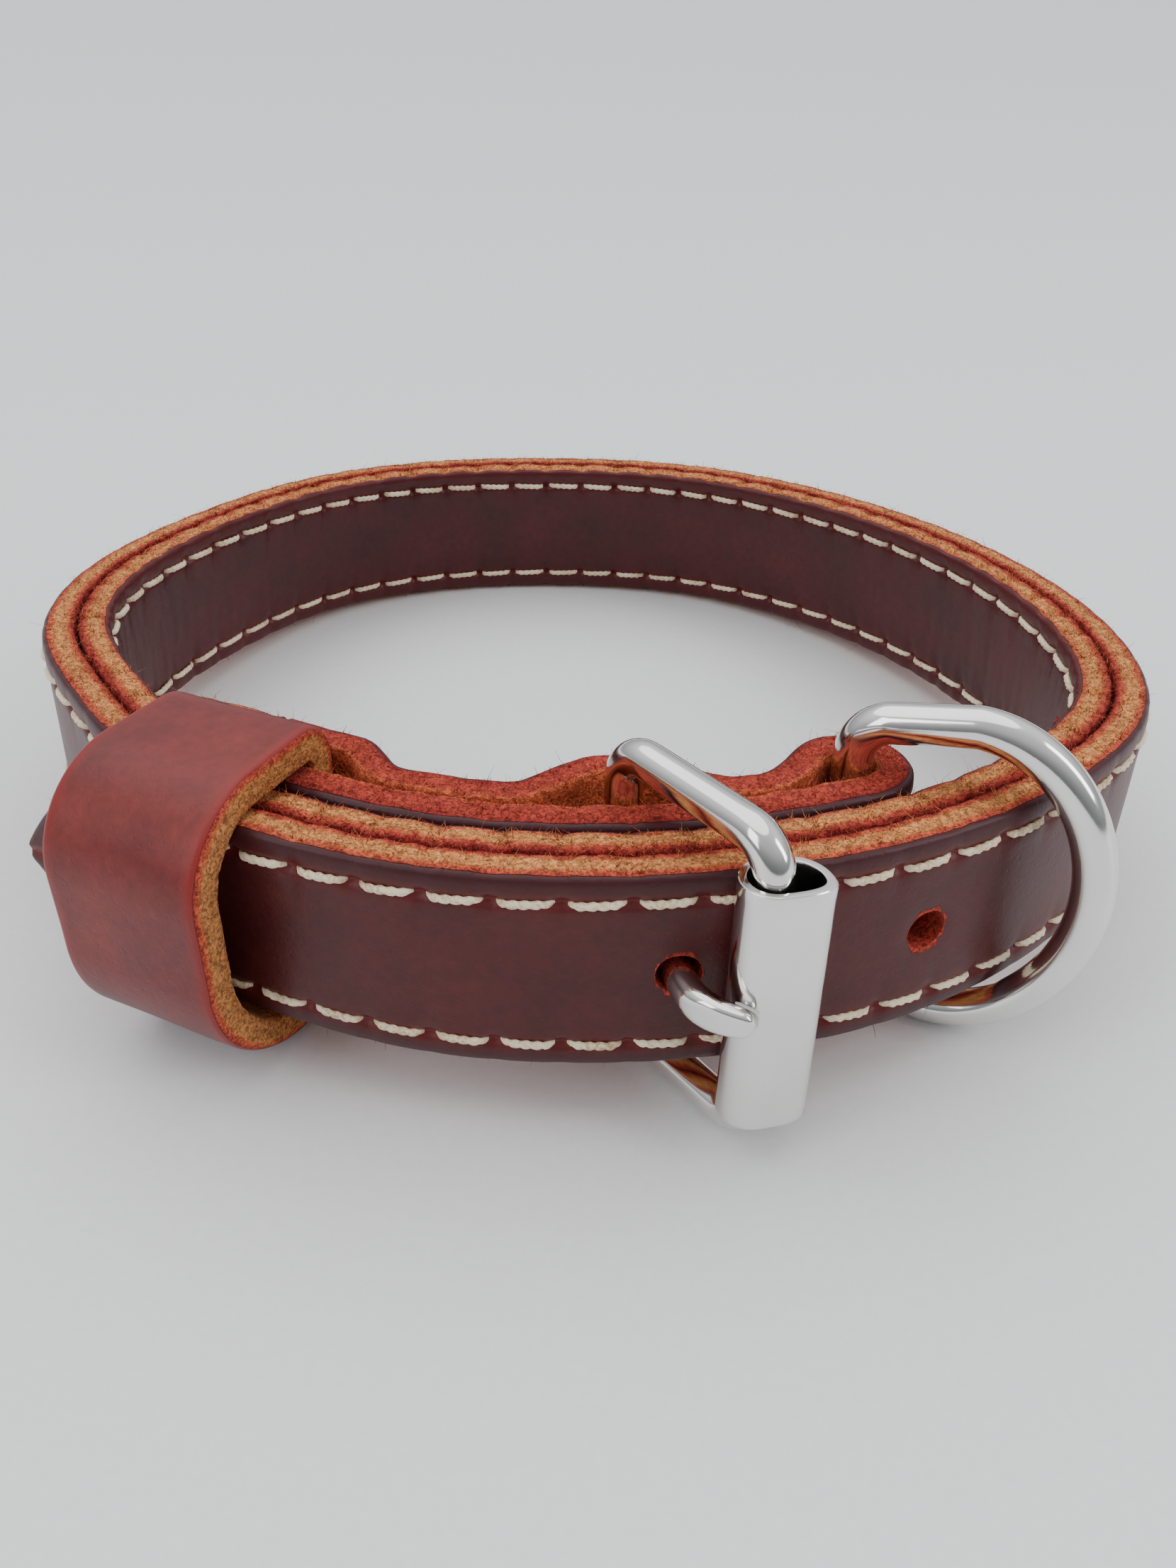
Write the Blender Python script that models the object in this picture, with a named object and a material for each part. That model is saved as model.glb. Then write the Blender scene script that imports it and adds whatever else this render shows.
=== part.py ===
"""A buckled two-ply leather dog collar that stands on its lower edge.

The strap's route is drawn in plan, seen from above, as one spiral: it starts at the tip of the free end,
runs along the front, round the right end, the back and the left end, and comes back to the front behind
the free end, where it carries the buckle and the D-ring. Every piece of leather is swept along that route,
and every piece of hardware takes its place from a station on it.
"""

import math

import bmesh
import bpy
import numpy as np

MM = 0.001

# The leather.
STRAP_WIDTH = 22.2 * MM
PLY = 3.8 * MM
EDGE_BEVEL = 0.7 * MM
FLESH_BEVEL = 0.15 * MM
TIP_LENGTH = 13.0 * MM
TIP_BLUNT = 1.2 * MM
TIP_ARCH = 0.9
GAP = 0.3 * MM

# The ring as it stands, measured over the strap's outer face at half height.
RING_WIDTH = 134.8 * MM
RING_DEPTH = 123.6 * MM
BACK_LEAN = math.radians(11.0)
LEAN_START = 0.16

# Holes in the free end.
HOLE_DIAMETER = 4.4 * MM
HOLE_PITCH = 25.4 * MM
HOLE_COUNT = 4

# Stations of the hardware, measured along the strap's outer face from the tip.
KEEPER_STATION = 19.5 * MM
HEEL_STATION = 66.0 * MM
D_RING_STATION = 95.4 * MM

# The keeper.
KEEPER_WIDTH = 18.0 * MM
KEEPER_THICKNESS = 3.4 * MM
KEEPER_PLAY = 4.4 * MM
KEEPER_SLACK = 3.4 * MM
KEEPER_TOP_CORNER = 7.3 * MM
KEEPER_FOOT_CORNER = 10.6 * MM
KEEPER_NECK_CORNER = 0.8 * MM

# The buckle.
BUCKLE_WIRE = 3.8 * MM
BUCKLE_PLAY = 6.8 * MM
BUCKLE_CORNER = 3.5 * MM
BUCKLE_REACH = 20.2 * MM
BUCKLE_SAG = 0.3 * MM
ROLLER_LENGTH = 27.2 * MM
ROLLER_WALL = 0.85 * MM
ROLLER_BORE_GAP = 0.35 * MM
ROLLER_LIP = 5.2 * MM
ROLLER_LIP_WALL = 1.2
ROLLER_LIP_LEVEL = 0.35
ROLLER_LIP_ROUND = 0.7
TONGUE_THICKNESS = 2.9 * MM
TONGUE_WIDTH = 3.7 * MM
TONGUE_LOOP_WALL = 1.2 * MM
TONGUE_LOOP_HEIGHT = 4.4 * MM
TONGUE_LOOP_START = -260
TONGUE_SEAT = 0.7 * MM
TONGUE_TIP_SHORT = 1.6 * MM
TONGUE_TIP_TAPER = 0.35
TONGUE_BEND_SHARE = 0.28
TONGUE_BOW_SHARE = 0.1
NOTCH_GAP = 0.35 * MM
ROLLER_SAG = 0.4 * MM
HOLE_AHEAD = 4.0 * MM

# The D-ring.
RING_WIRE = 4.2 * MM
RING_PLAY = 5.2 * MM
RING_CORNER = 4.4 * MM
RING_THROAT = 8.7 * MM
RING_BOW = 13.6 * MM
RING_BULGE = 1.3 * MM

# How finely the shapes are drawn.
SECTION_STEP = 4.0 * MM
FINE_STEP = 1.6 * MM
WIRE_STEP = 2.4 * MM
WIRE_RESOLUTION = 4
CORNER_STEPS = 5
KEEPER_STEPS = 6
LIP_STEPS = 8
TONGUE_SIDES = 12
HOLE_SIDES = 16
LAYER_RAMP = 11.0 * MM
KEEPER_RAMP = 7.5 * MM

STACK = 2.0 * PLY + 2.0 * GAP
BUCKLE_HALF = STRAP_WIDTH / 2 + BUCKLE_PLAY / 2 + BUCKLE_WIRE / 2
RING_HALF = STRAP_WIDTH / 2 + RING_PLAY / 2 + RING_WIRE / 2

# The route of the strap's outer face in plan, from the tip round to the left end. The columns are shares of
# half RING_WIDTH, to the right of the middle, and of RING_DEPTH, back from the front.
ROUTE = (
    # right, back
    (-0.831, 0.150),
    (-0.562, 0.083),
    (-0.235, 0.014),
    (-0.029, 0.000),
    (0.174, 0.007),
    (0.463, 0.050),
    (0.779, 0.161),
    (0.935, 0.265),
    (1.000, 0.450),
    (0.915, 0.645),
    (0.590, 0.880),
    (0.270, 0.978),
    (-0.052, 1.000),
    (-0.366, 0.978),
    (-0.655, 0.900),
    (-0.880, 0.740),
    (-1.000, 0.528),
    (-0.960, 0.392),
    (-0.787, 0.243),
)


class Route:
    """A smooth line in plan that can be asked for its place and direction at any station."""

    def __init__(self, knots):
        """Draw a natural cubic through the knots and measure its length."""
        knots = np.asarray(knots)
        span = np.linalg.norm(np.diff(knots, axis=0), axis=1)
        count = len(knots)
        matrix = np.zeros((count, count))
        matrix[0, 0] = 1.0
        matrix[-1, -1] = 1.0
        side = np.zeros_like(knots)
        for i in range(1, count - 1):
            matrix[i, i - 1:i + 2] = (span[i - 1], 2 * (span[i - 1] + span[i]), span[i])
            rise_after = (knots[i + 1] - knots[i]) / span[i]
            rise_before = (knots[i] - knots[i - 1]) / span[i - 1]
            side[i] = 6 * (rise_after - rise_before)
        bend = np.linalg.solve(matrix, side)
        dense = []
        for i in range(count - 1):
            steps = max(2, int(span[i] / (0.25 * MM)))
            for t in np.arange(steps) / steps * span[i]:
                left = span[i] - t
                point = (bend[i] * left**3 + bend[i + 1] * t**3) / (6 * span[i])
                point = point + (knots[i] / span[i] - bend[i] * span[i] / 6) * left
                point = point + (knots[i + 1] / span[i] - bend[i + 1] * span[i] / 6) * t
                dense.append(point)
        dense.append(knots[-1])
        self.points = np.array(dense)
        steps = np.linalg.norm(np.diff(self.points, axis=0), axis=1)
        self.stations = np.concatenate([[0.0], np.cumsum(steps)])
        self.length = self.stations[-1]

    def place(self, station, depth=0.0):
        """The point at a station, moved towards the neck by depth."""
        x = np.interp(station, self.stations, self.points[:, 0])
        y = np.interp(station, self.stations, self.points[:, 1])
        return np.array([x, y]) + self.inward(station) * depth

    def along(self, station):
        """The unit vector along the strap at a station."""
        reach = 0.4 * MM
        low = np.clip(station - reach, 0.0, self.length)
        high = np.clip(station + reach, 0.0, self.length)
        step = np.array([
            np.interp(high, self.stations, self.points[:, i]) - np.interp(low, self.stations, self.points[:, i])
            for i in range(2)
        ])
        return step / np.linalg.norm(step)

    def inward(self, station):
        """The unit vector from the strap towards the neck at a station."""
        x, y = self.along(station)
        return np.array([-y, x])

    def nearest(self, point, after=0.0):
        """The station nearest to a point, beyond the station after."""
        away = np.linalg.norm(self.points - point, axis=1)
        away[self.stations < after] = np.inf
        return self.stations[np.argmin(away)]


def route_knots():
    """The knots of the route's first turn, in metres."""
    return [(right * RING_WIDTH / 2, back * RING_DEPTH) for right, back in ROUTE]


def whole_route():
    """The route of the strap's outer face, first turn and the stretch behind the free end."""
    first = Route(route_knots())
    start = KEEPER_STATION - KEEPER_WIDTH / 2 - SECTION_STEP
    stations = np.arange(start, D_RING_STATION + SECTION_STEP, SECTION_STEP)
    behind = [tuple(first.place(station, STACK)) for station in stations]
    return Route(route_knots() + behind)


ROUTE_LINE = whole_route()
HALF_WAY = ROUTE_LINE.length / 2


def base_station(free_end_station):
    """The station behind the free end that lies under a station of the free end."""
    return ROUTE_LINE.nearest(ROUTE_LINE.place(free_end_station, STACK), after=HALF_WAY)


KEEPER_BASE = base_station(KEEPER_STATION)
HEEL_BASE = base_station(HEEL_STATION)
RING_BASE = base_station(D_RING_STATION)


def ramp(distance, flat, length=LAYER_RAMP):
    """1 within flat of a place, falling smoothly to 0 over the given length."""
    share = np.clip((distance - flat) / length, 0.0, 1.0)
    return 0.5 + 0.5 * math.cos(math.pi * share)


def layer_gap(station):
    """The gap between the outer ply and the layer on its neck side: open where something lies between."""
    keeper = (KEEPER_THICKNESS + GAP) * ramp(abs(station - KEEPER_BASE), KEEPER_WIDTH / 2 + GAP, KEEPER_RAMP)
    heel_bar = BUCKLE_WIRE + TONGUE_LOOP_WALL + 2 * GAP
    heel = heel_bar * ramp(abs(station - HEEL_BASE), BUCKLE_WIRE / 2)
    ring = (RING_WIRE + GAP) * ramp(abs(station - RING_BASE), 0.0)
    return GAP + max(keeper, heel, ring)


def lean(point):
    """How far the strap leans towards the neck for each metre of height, at a point in plan."""
    share = np.clip(point[1] / RING_DEPTH, 0.0, 1.0)
    share = np.clip((share - LEAN_START) / (1.0 - LEAN_START), 0.0, 1.0)
    return math.tan(BACK_LEAN) * share * share * (3 - 2 * share)


def tip_half_width(station):
    """Half the strap's width at a station: the tip is a pointed arch."""
    share = np.clip(station / TIP_LENGTH, 0.0, 1.0)
    full = STRAP_WIDTH / 2
    return TIP_BLUNT + (full - TIP_BLUNT) * math.sin(math.pi / 2 * share) ** TIP_ARCH


def loft(name, rings, closed=False):
    """A solid skinned over rings of equal length, capped at its ends unless it closes on itself."""
    rings = np.asarray(rings)
    count, around = rings.shape[:2]
    index = np.arange(count * around).reshape(count, around)
    faces = []
    for i in range(count if closed else count - 1):
        here = index[i]
        there = index[(i + 1) % count]
        for j in range(around):
            k = (j + 1) % around
            faces.append((here[j], here[k], there[k], there[j]))
    if not closed:
        faces.append(tuple(index[0][::-1]))
        faces.append(tuple(index[-1]))
    mesh = bpy.data.meshes.new(name)
    mesh.from_pydata(rings.reshape(-1, 3).tolist(), [], faces)
    mesh.validate()
    return mesh


def strap_section(point, inward, thickness, half_width, bevel_low, bevel_high):
    """One section of a ply about a point of its middle line, with the grain side's edges bevelled.

    bevel_low bevels the edges on the side away from inward, and bevel_high those on the other side.
    """
    half = thickness / 2
    corners = (
        (-half, half_width - bevel_low),
        (-half + bevel_low, half_width),
        (half - bevel_high, half_width),
        (half, half_width - bevel_high),
        (half, -half_width + bevel_high),
        (half - bevel_high, -half_width),
        (-half + bevel_low, -half_width),
        (-half, -half_width + bevel_low),
    )
    section = []
    for depth, height in corners:
        x, y = point + inward * (depth + height * lean(point))
        section.append((x, y, STRAP_WIDTH / 2 + height))
    return section


def stations_between(start, end, coarse=SECTION_STEP):
    """Stations from start to end, closer together where the layers part."""
    stations = [start]
    while stations[-1] < end:
        here = stations[-1]
        parted = here > KEEPER_BASE - KEEPER_WIDTH / 2 - LAYER_RAMP - coarse
        stations.append(here + (coarse / 2 if parted else coarse))
    stations[-1] = end
    if stations[-1] - stations[-2] < 0.3 * coarse:
        del stations[-2]
    return stations


def line_normals(points):
    """Unit vectors to the left of a line of points, seen from above."""
    step = np.gradient(points, axis=0)
    step = step / np.linalg.norm(step, axis=1)[:, None]
    return np.stack([-step[:, 1], step[:, 0]], axis=1)


def tip_stations():
    """Stations that draw the pointed tip."""
    shares = (0.0, 0.06, 0.16, 0.3, 0.5, 0.75, 1.0)
    return [share * TIP_LENGTH for share in shares]


def outer_ply():
    """The outer ply: the whole route, the fold round the D-ring's bar and the turn-back."""
    stations = tip_stations() + stations_between(TIP_LENGTH, RING_BASE)[1:]
    line = [ROUTE_LINE.place(station, PLY / 2) for station in stations]
    widths = [tip_half_width(station) for station in stations]
    radius = RING_WIRE / 2 + GAP + PLY / 2
    centre = ROUTE_LINE.place(RING_BASE, PLY + GAP + RING_WIRE / 2)
    out = -ROUTE_LINE.inward(RING_BASE)
    along = ROUTE_LINE.along(RING_BASE)
    turns = int(math.ceil(math.pi * radius / FINE_STEP))
    for i in range(1, turns):
        angle = math.pi * i / turns
        line.append(centre + radius * (out * math.cos(angle) + along * math.sin(angle)))
    back = stations_between(KEEPER_BASE + GAP, RING_BASE)[::-1]
    for station in back:
        line.append(ROUTE_LINE.place(station, 1.5 * PLY + layer_gap(station)))
    widths += [STRAP_WIDTH / 2] * (len(line) - len(widths))
    line = np.array(line)
    normals = line_normals(line)
    rings = []
    for point, normal, width in zip(line, normals, widths):
        rings.append(strap_section(point, normal, PLY, width, min(EDGE_BEVEL, width / 2), FLESH_BEVEL))
    return loft("strap_outer", rings)


def lining_ply():
    """The lining: from the tip to the turn-back's end under the keeper."""
    stations = tip_stations() + stations_between(TIP_LENGTH, KEEPER_BASE - GAP)[1:]
    line = np.array([ROUTE_LINE.place(s, 1.5 * PLY + layer_gap(s)) for s in stations])
    normals = line_normals(line)
    rings = []
    for point, normal, station in zip(line, normals, stations):
        width = tip_half_width(station)
        rings.append(strap_section(point, normal, PLY, width, FLESH_BEVEL, min(EDGE_BEVEL, width / 2)))
    return loft("strap_lining", rings)


def rounded_box_outline(low, high, top_radius, foot_radius, neck_radius, steps=CORNER_STEPS):
    """Points round a box with rounded corners, from (depth, height) low to high.

    top_radius and foot_radius are those of the corners on the low side, neck_radius that of the other two.
    """
    points = []
    corners = (
        (high[0], high[1], neck_radius, 0.0),
        (low[0], high[1], top_radius, 90.0),
        (low[0], low[1], foot_radius, 180.0),
        (high[0], low[1], neck_radius, 270.0),
    )
    for depth, height, radius, start in corners:
        across = depth - radius if depth == high[0] else depth + radius
        up = height - radius if height == high[1] else height + radius
        for i in range(steps + 1):
            angle = math.radians(start + 90.0 * i / steps)
            points.append((across + radius * math.cos(angle), up + radius * math.sin(angle)))
    return points


def keeper_rings(shift):
    """Sections of the keeper: a band round the free end and the outer ply behind it, raised by shift."""
    low = (-GAP - KEEPER_SLACK, -KEEPER_PLAY / 2 + shift)
    high = (STACK + PLY + GAP / 2, STRAP_WIDTH + KEEPER_PLAY / 2 + shift)
    inner = rounded_box_outline(low, high, KEEPER_TOP_CORNER, KEEPER_FOOT_CORNER, KEEPER_NECK_CORNER)
    thick = KEEPER_THICKNESS
    low = (low[0] - thick, low[1] - thick)
    high = (high[0] + thick, high[1] + thick)
    top = KEEPER_TOP_CORNER + thick
    foot = KEEPER_FOOT_CORNER + thick
    outer = rounded_box_outline(low, high, top, foot, KEEPER_NECK_CORNER + thick)
    stations = np.linspace(KEEPER_STATION - KEEPER_WIDTH / 2, KEEPER_STATION + KEEPER_WIDTH / 2, KEEPER_STEPS)
    rings = []
    for inside, outside in zip(inner, outer):
        ring = []
        for station in stations:
            x, y = ROUTE_LINE.place(station, outside[0])
            ring.append((x, y, outside[1]))
        for station in stations[::-1]:
            x, y = ROUTE_LINE.place(station, inside[0])
            ring.append((x, y, inside[1]))
        rings.append(ring[::-1])
    return rings


def arc(centre, radius, start, end, step=WIRE_STEP / 2):
    """Points along an arc, from start to end in degrees, both ends included."""
    steps = max(3, int(math.ceil(math.radians(abs(end - start)) * radius / step)))
    points = []
    for i in range(steps + 1):
        angle = math.radians(start + (end - start) * i / steps)
        points.append((centre[0] + radius * math.cos(angle), centre[1] + radius * math.sin(angle)))
    return points


def d_outline():
    """The D-ring's middle line: (reach from the bar, height), the bar on reach 0."""
    bow_centre = ring_reach() - RING_BOW
    corner = RING_CORNER
    top = arc((corner, RING_HALF - corner), corner, 180.0, 110.0)
    widest = RING_HALF + RING_BULGE
    bow = [(bow_centre + RING_BOW * x, widest * z) for x, z in arc((0.0, 0.0), 1.0, 90.0, -90.0, 0.16)]
    foot = arc((corner, corner - RING_HALF), corner, 250.0, 180.0)
    return top + bow + foot


def ring_reach():
    """From the D-ring's bar to its bow, over the free end and with room beyond it."""
    return RING_WIRE + PLY + STACK + RING_THROAT


def buckle_outline():
    """The buckle frame's middle line: (reach from the heel bar, height)."""
    half = BUCKLE_HALF
    corner = BUCKLE_CORNER
    far = BUCKLE_REACH - corner
    outline = arc((corner, half - corner), corner, 180.0, 90.0)
    outline += arc((far, half - corner), corner, 90.0, 0.0)
    outline += arc((far, corner - half), corner, 0.0, -90.0)
    outline += arc((corner, corner - half), corner, 270.0, 180.0)
    return outline


def heading(direction):
    """The turn about the vertical that brings +X onto a direction in plan."""
    return math.atan2(direction[1], direction[0])


HEEL_AXIS = ROUTE_LINE.place(HEEL_BASE, PLY + GAP + BUCKLE_WIRE / 2)
RING_AXIS = ROUTE_LINE.place(RING_BASE, PLY + GAP + RING_WIRE / 2)
ROLLER_RADIUS = BUCKLE_WIRE / 2 + ROLLER_BORE_GAP + ROLLER_WALL


def front_bar():
    """The station and place of the buckle's front bar: the roller lies on the free end."""
    low = HEEL_STATION
    high = HEEL_STATION + BUCKLE_REACH
    for _ in range(40):
        station = (low + high) / 2
        place = ROUTE_LINE.place(station, -ROLLER_RADIUS - GAP)
        if np.linalg.norm(place - HEEL_AXIS) < BUCKLE_REACH:
            low = station
        else:
            high = station
    return station, place


FRONT_STATION, FRONT_AXIS = front_bar()
BUCKLE_HEADING = heading(FRONT_AXIS - HEEL_AXIS)


def back_edge():
    """How far back the strap's lower edge reaches, where it stands at the back."""
    return RING_DEPTH + STRAP_WIDTH / 2 * math.tan(BACK_LEAN)


BUCKLE_FOOT = STRAP_WIDTH / 2 - BUCKLE_SAG - BUCKLE_HALF - BUCKLE_WIRE / 2
FLOOR_SLOPE = -BUCKLE_FOOT / (back_edge() - HEEL_AXIS[1])
TILT = math.atan(FLOOR_SLOPE)


def floor_height(y):
    """The floor's height under the collar, in the collar's own frame."""
    return FLOOR_SLOPE * (y - back_edge())


def free_end_clearance(points):
    """How far the middle line of a wire lies from the free end's leather."""
    nearest = np.inf
    stations = np.arange(HEEL_STATION, D_RING_STATION + 2 * STRAP_WIDTH, MM)
    middle = np.array([ROUTE_LINE.place(station, PLY + GAP / 2) for station in stations])
    for x, y, z in points:
        side = np.min(np.linalg.norm(middle - (x, y), axis=1)) - (PLY + GAP / 2)
        above = abs(z - STRAP_WIDTH / 2) - STRAP_WIDTH / 2
        nearest = min(nearest, math.hypot(max(side, 0.0), max(above, 0.0)))
    return nearest


def ring_points(swing, middle):
    """The D-ring's middle line in the collar's frame, turned to a heading about its bar."""
    points = []
    for reach, height in d_outline():
        x = RING_AXIS[0] + reach * math.cos(swing)
        y = RING_AXIS[1] + reach * math.sin(swing)
        points.append((x, y, middle + height))
    return points


def ring_middle(swing):
    """The height of the D-ring's middle when its foot stands on the floor."""
    feet = [floor_height(y) - z for x, y, z in ring_points(swing, 0.0)]
    return max(feet) + RING_WIRE / 2 / math.cos(TILT)


def resting_swing():
    """The heading at which the D-ring, swung to the right, comes to lie against the free end."""
    straight_out = heading(-ROUTE_LINE.inward(RING_BASE))
    swing = straight_out
    while swing < straight_out + math.pi / 2:
        trial = swing + math.radians(0.5)
        if free_end_clearance(ring_points(trial, ring_middle(trial))) < RING_WIRE / 2 + GAP:
            break
        swing = trial
    return swing


def wire(name, outline, diameter):
    """A closed loop of round wire drawn in the XZ plane."""
    curve = bpy.data.curves.new(name, "CURVE")
    curve.dimensions = "3D"
    curve.bevel_depth = diameter / 2
    curve.bevel_resolution = WIRE_RESOLUTION
    curve.use_fill_caps = True
    spline = curve.splines.new("POLY")
    spline.points.add(len(outline) - 1)
    for point, (reach, height) in zip(spline.points, outline):
        point.co = (reach, 0.0, height, 1.0)
    spline.use_cyclic_u = True
    return bpy.data.objects.new(name, curve)


def roller_outline(radius, lip):
    """The roller's section about the bar: round at the heel side, flat in front, closed to a narrow lip.

    The first column runs along the strap, the second towards the neck.
    """
    outline = arc((0.0, 0.0), radius, 270.0, 90.0, radius / 4)
    edge = -ROLLER_LIP_LEVEL * radius
    for i in range(1, 2 * LIP_STEPS):
        angle = math.pi / 2 * i / LIP_STEPS
        rise = math.cos(angle)
        if rise > 0.0:
            level = edge + (radius - edge) * rise
        else:
            level = edge - (radius + edge) * abs(rise) ** ROLLER_LIP_ROUND
        outline.append((lip * math.sin(angle) ** ROLLER_LIP_ROUND, level))
    return outline


def roller_tube():
    """The roller: a folded sheet tube, drawn as a flat outline with a hole and extruded."""
    curve = bpy.data.curves.new("buckle_roller", "CURVE")
    curve.dimensions = "2D"
    curve.fill_mode = "BOTH"
    curve.extrude = ROLLER_LENGTH / 2
    inner = ROLLER_RADIUS - ROLLER_WALL
    lips = (ROLLER_LIP, ROLLER_LIP - ROLLER_LIP_WALL * ROLLER_WALL)
    for radius, lip in zip((ROLLER_RADIUS, inner), lips):
        outline = roller_outline(radius, lip)
        spline = curve.splines.new("POLY")
        spline.points.add(len(outline) - 1)
        for point, (x, y) in zip(spline.points, outline):
            point.co = (x, y, 0.0, 1.0)
        spline.use_cyclic_u = True
    return bpy.data.objects.new("buckle_roller", curve)


def as_mesh(source, weld=0.01 * MM):
    """A mesh object in place of a curve object, with its caps welded."""
    bpy.context.scene.collection.objects.link(source)
    bpy.context.view_layer.update()
    graph = bpy.context.evaluated_depsgraph_get()
    mesh = bpy.data.meshes.new_from_object(source.evaluated_get(graph))
    matrix = source.matrix_world.copy()
    name = source.name
    bpy.data.objects.remove(source)
    mesh.name = name
    made = bpy.data.objects.new(name, mesh)
    made.matrix_world = matrix
    bm = bmesh.new()
    bm.from_mesh(mesh)
    bmesh.ops.remove_doubles(bm, verts=bm.verts, dist=weld)
    bmesh.ops.recalc_face_normals(bm, faces=bm.faces)
    bm.to_mesh(mesh)
    bm.free()
    return made


def tongue_line():
    """The tongue's middle line in plan: round the heel bar, out through the hole, onto the roller."""
    along = ROUTE_LINE.along(HEEL_STATION)
    out = -ROUTE_LINE.inward(HEEL_STATION)
    radius = BUCKLE_WIRE / 2 + GAP + TONGUE_LOOP_WALL / 2
    line = []
    for degrees in range(TONGUE_LOOP_START, 1, 20):
        angle = math.radians(degrees)
        line.append(HEEL_AXIS + radius * (along * math.cos(angle) + out * math.sin(angle)))
    hole = HEEL_STATION + HOLE_AHEAD
    line.append(ROUTE_LINE.place(hole, STACK + PLY / 2))
    line.append(ROUTE_LINE.place(hole, 1.5 * PLY))
    line.append(ROUTE_LINE.place(hole, 0.2 * PLY))
    front = -ROUTE_LINE.inward(FRONT_STATION)
    seat = FRONT_AXIS + front * (ROLLER_RADIUS + TONGUE_SEAT)
    tip = seat - ROUTE_LINE.along(FRONT_STATION) * TONGUE_TIP_SHORT
    mouth = ROUTE_LINE.place(hole, -TONGUE_THICKNESS)
    bend = mouth + (tip - mouth) * TONGUE_BEND_SHARE
    line.append(bend + front * TONGUE_BOW_SHARE * TONGUE_THICKNESS)
    line.append(tip)
    return Route(line)


def tongue_rings(swell=0.0):
    """Sections of the tongue: a flat loop, a round shank and a tip that narrows, each grown by swell."""
    line = tongue_line()
    loop_end = math.radians(-TONGUE_LOOP_START) * (BUCKLE_WIRE / 2 + GAP + TONGUE_LOOP_WALL / 2)
    stations = np.arange(0.0, line.length, FINE_STEP)
    stations = np.append(stations[:-1], line.length)
    middle = STRAP_WIDTH / 2 - BUCKLE_SAG
    rings = []
    for station in stations:
        shank = np.clip((station - loop_end - 0.5 * BUCKLE_WIRE) / BUCKLE_WIRE, 0.0, 1.0)
        narrow = np.clip((station - line.length + 2 * TONGUE_THICKNESS) / (2 * TONGUE_THICKNESS), 0.0, 1.0)
        taper = 1 - TONGUE_TIP_TAPER * narrow**2
        thick = TONGUE_LOOP_WALL / 2 + (TONGUE_THICKNESS / 2 * taper - TONGUE_LOOP_WALL / 2) * shank + swell
        high = TONGUE_LOOP_HEIGHT / 2 + (TONGUE_WIDTH / 2 * taper - TONGUE_LOOP_HEIGHT / 2) * shank + swell
        centre = line.place(station)
        side = line.inward(station)
        ring = []
        for i in range(TONGUE_SIDES):
            angle = math.tau * i / TONGUE_SIDES
            x, y = centre - HEEL_AXIS + side * thick * math.cos(angle)
            ring.append((x, y, middle + high * math.sin(angle)))
        rings.append(ring)
    return rings


def cutter_cylinder(name, station, diameter, depth_low, depth_high):
    """A cutter through the free end at a station, square to it, from one depth to another."""
    centre = ROUTE_LINE.place(station, (depth_low + depth_high) / 2)
    inward = ROUTE_LINE.inward(station)
    bpy.ops.mesh.primitive_cylinder_add(
        vertices=HOLE_SIDES,
        radius=diameter / 2,
        depth=depth_high - depth_low,
        location=(centre[0], centre[1], STRAP_WIDTH / 2),
        rotation=(0.0, math.pi / 2, heading(inward)),
    )
    made = bpy.context.object
    made.name = name
    return made


def slot_cutter():
    """The cutter for the tongue's slot in the outer ply, from the heel bar to the free end's inner face."""
    along = ROUTE_LINE.along(HEEL_STATION)
    out = -ROUTE_LINE.inward(HEEL_STATION)
    loop = BUCKLE_WIRE / 2 + TONGUE_LOOP_WALL + 2 * GAP
    left = -loop
    right = HOLE_AHEAD + TONGUE_THICKNESS / 2 + 2 * GAP
    reach = BUCKLE_WIRE / 2 + GAP + PLY + GAP / 2
    centre = HEEL_AXIS + along * (left + right) / 2 + out * reach / 2
    bpy.ops.mesh.primitive_cube_add(
        size=1.0,
        location=(centre[0], centre[1], STRAP_WIDTH / 2 - BUCKLE_SAG),
        rotation=(0.0, 0.0, heading(along)),
    )
    made = bpy.context.object
    made.name = "tongue_slot_cutter"
    made.scale = (right - left, reach, TONGUE_LOOP_HEIGHT + 4 * GAP)
    return made


def cut(target, cutter):
    """Cut a cutter out of a target with a Boolean modifier that stays on it."""
    modifier = target.modifiers.new(cutter.name, "BOOLEAN")
    modifier.operation = "DIFFERENCE"
    modifier.solver = "EXACT"
    modifier.object = cutter


def material(name, colour, roughness, metallic=0.0):
    """A Principled material."""
    made = bpy.data.materials.new(name)
    made.use_nodes = True
    shader = made.node_tree.nodes["Principled BSDF"]
    shader.inputs["Base Color"].default_value = (*colour, 1.0)
    shader.inputs["Roughness"].default_value = roughness
    shader.inputs["Metallic"].default_value = metallic
    return made


def clear_scene():
    """Remove every object of the scene."""
    for thing in list(bpy.data.objects):
        bpy.data.objects.remove(thing, do_unlink=True)


def move_to(thing, collection):
    """Link an object to one collection only."""
    for other in list(thing.users_collection):
        other.objects.unlink(thing)
    collection.objects.link(thing)


def stand_on_floor(seat, parts):
    """Move the seat so that the parts' box stands on the floor, centred on the origin."""
    bpy.context.view_layer.update()
    graph = bpy.context.evaluated_depsgraph_get()
    corners = []
    for part in parts:
        shown = part.evaluated_get(graph)
        mesh = shown.to_mesh()
        corners += [tuple(part.matrix_world @ vertex.co) for vertex in mesh.vertices]
        shown.to_mesh_clear()
    corners = np.array(corners)
    low = corners.min(axis=0)
    high = corners.max(axis=0)
    seat.location = (-(low[0] + high[0]) / 2, -(low[1] + high[1]) / 2, -low[2])


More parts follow.
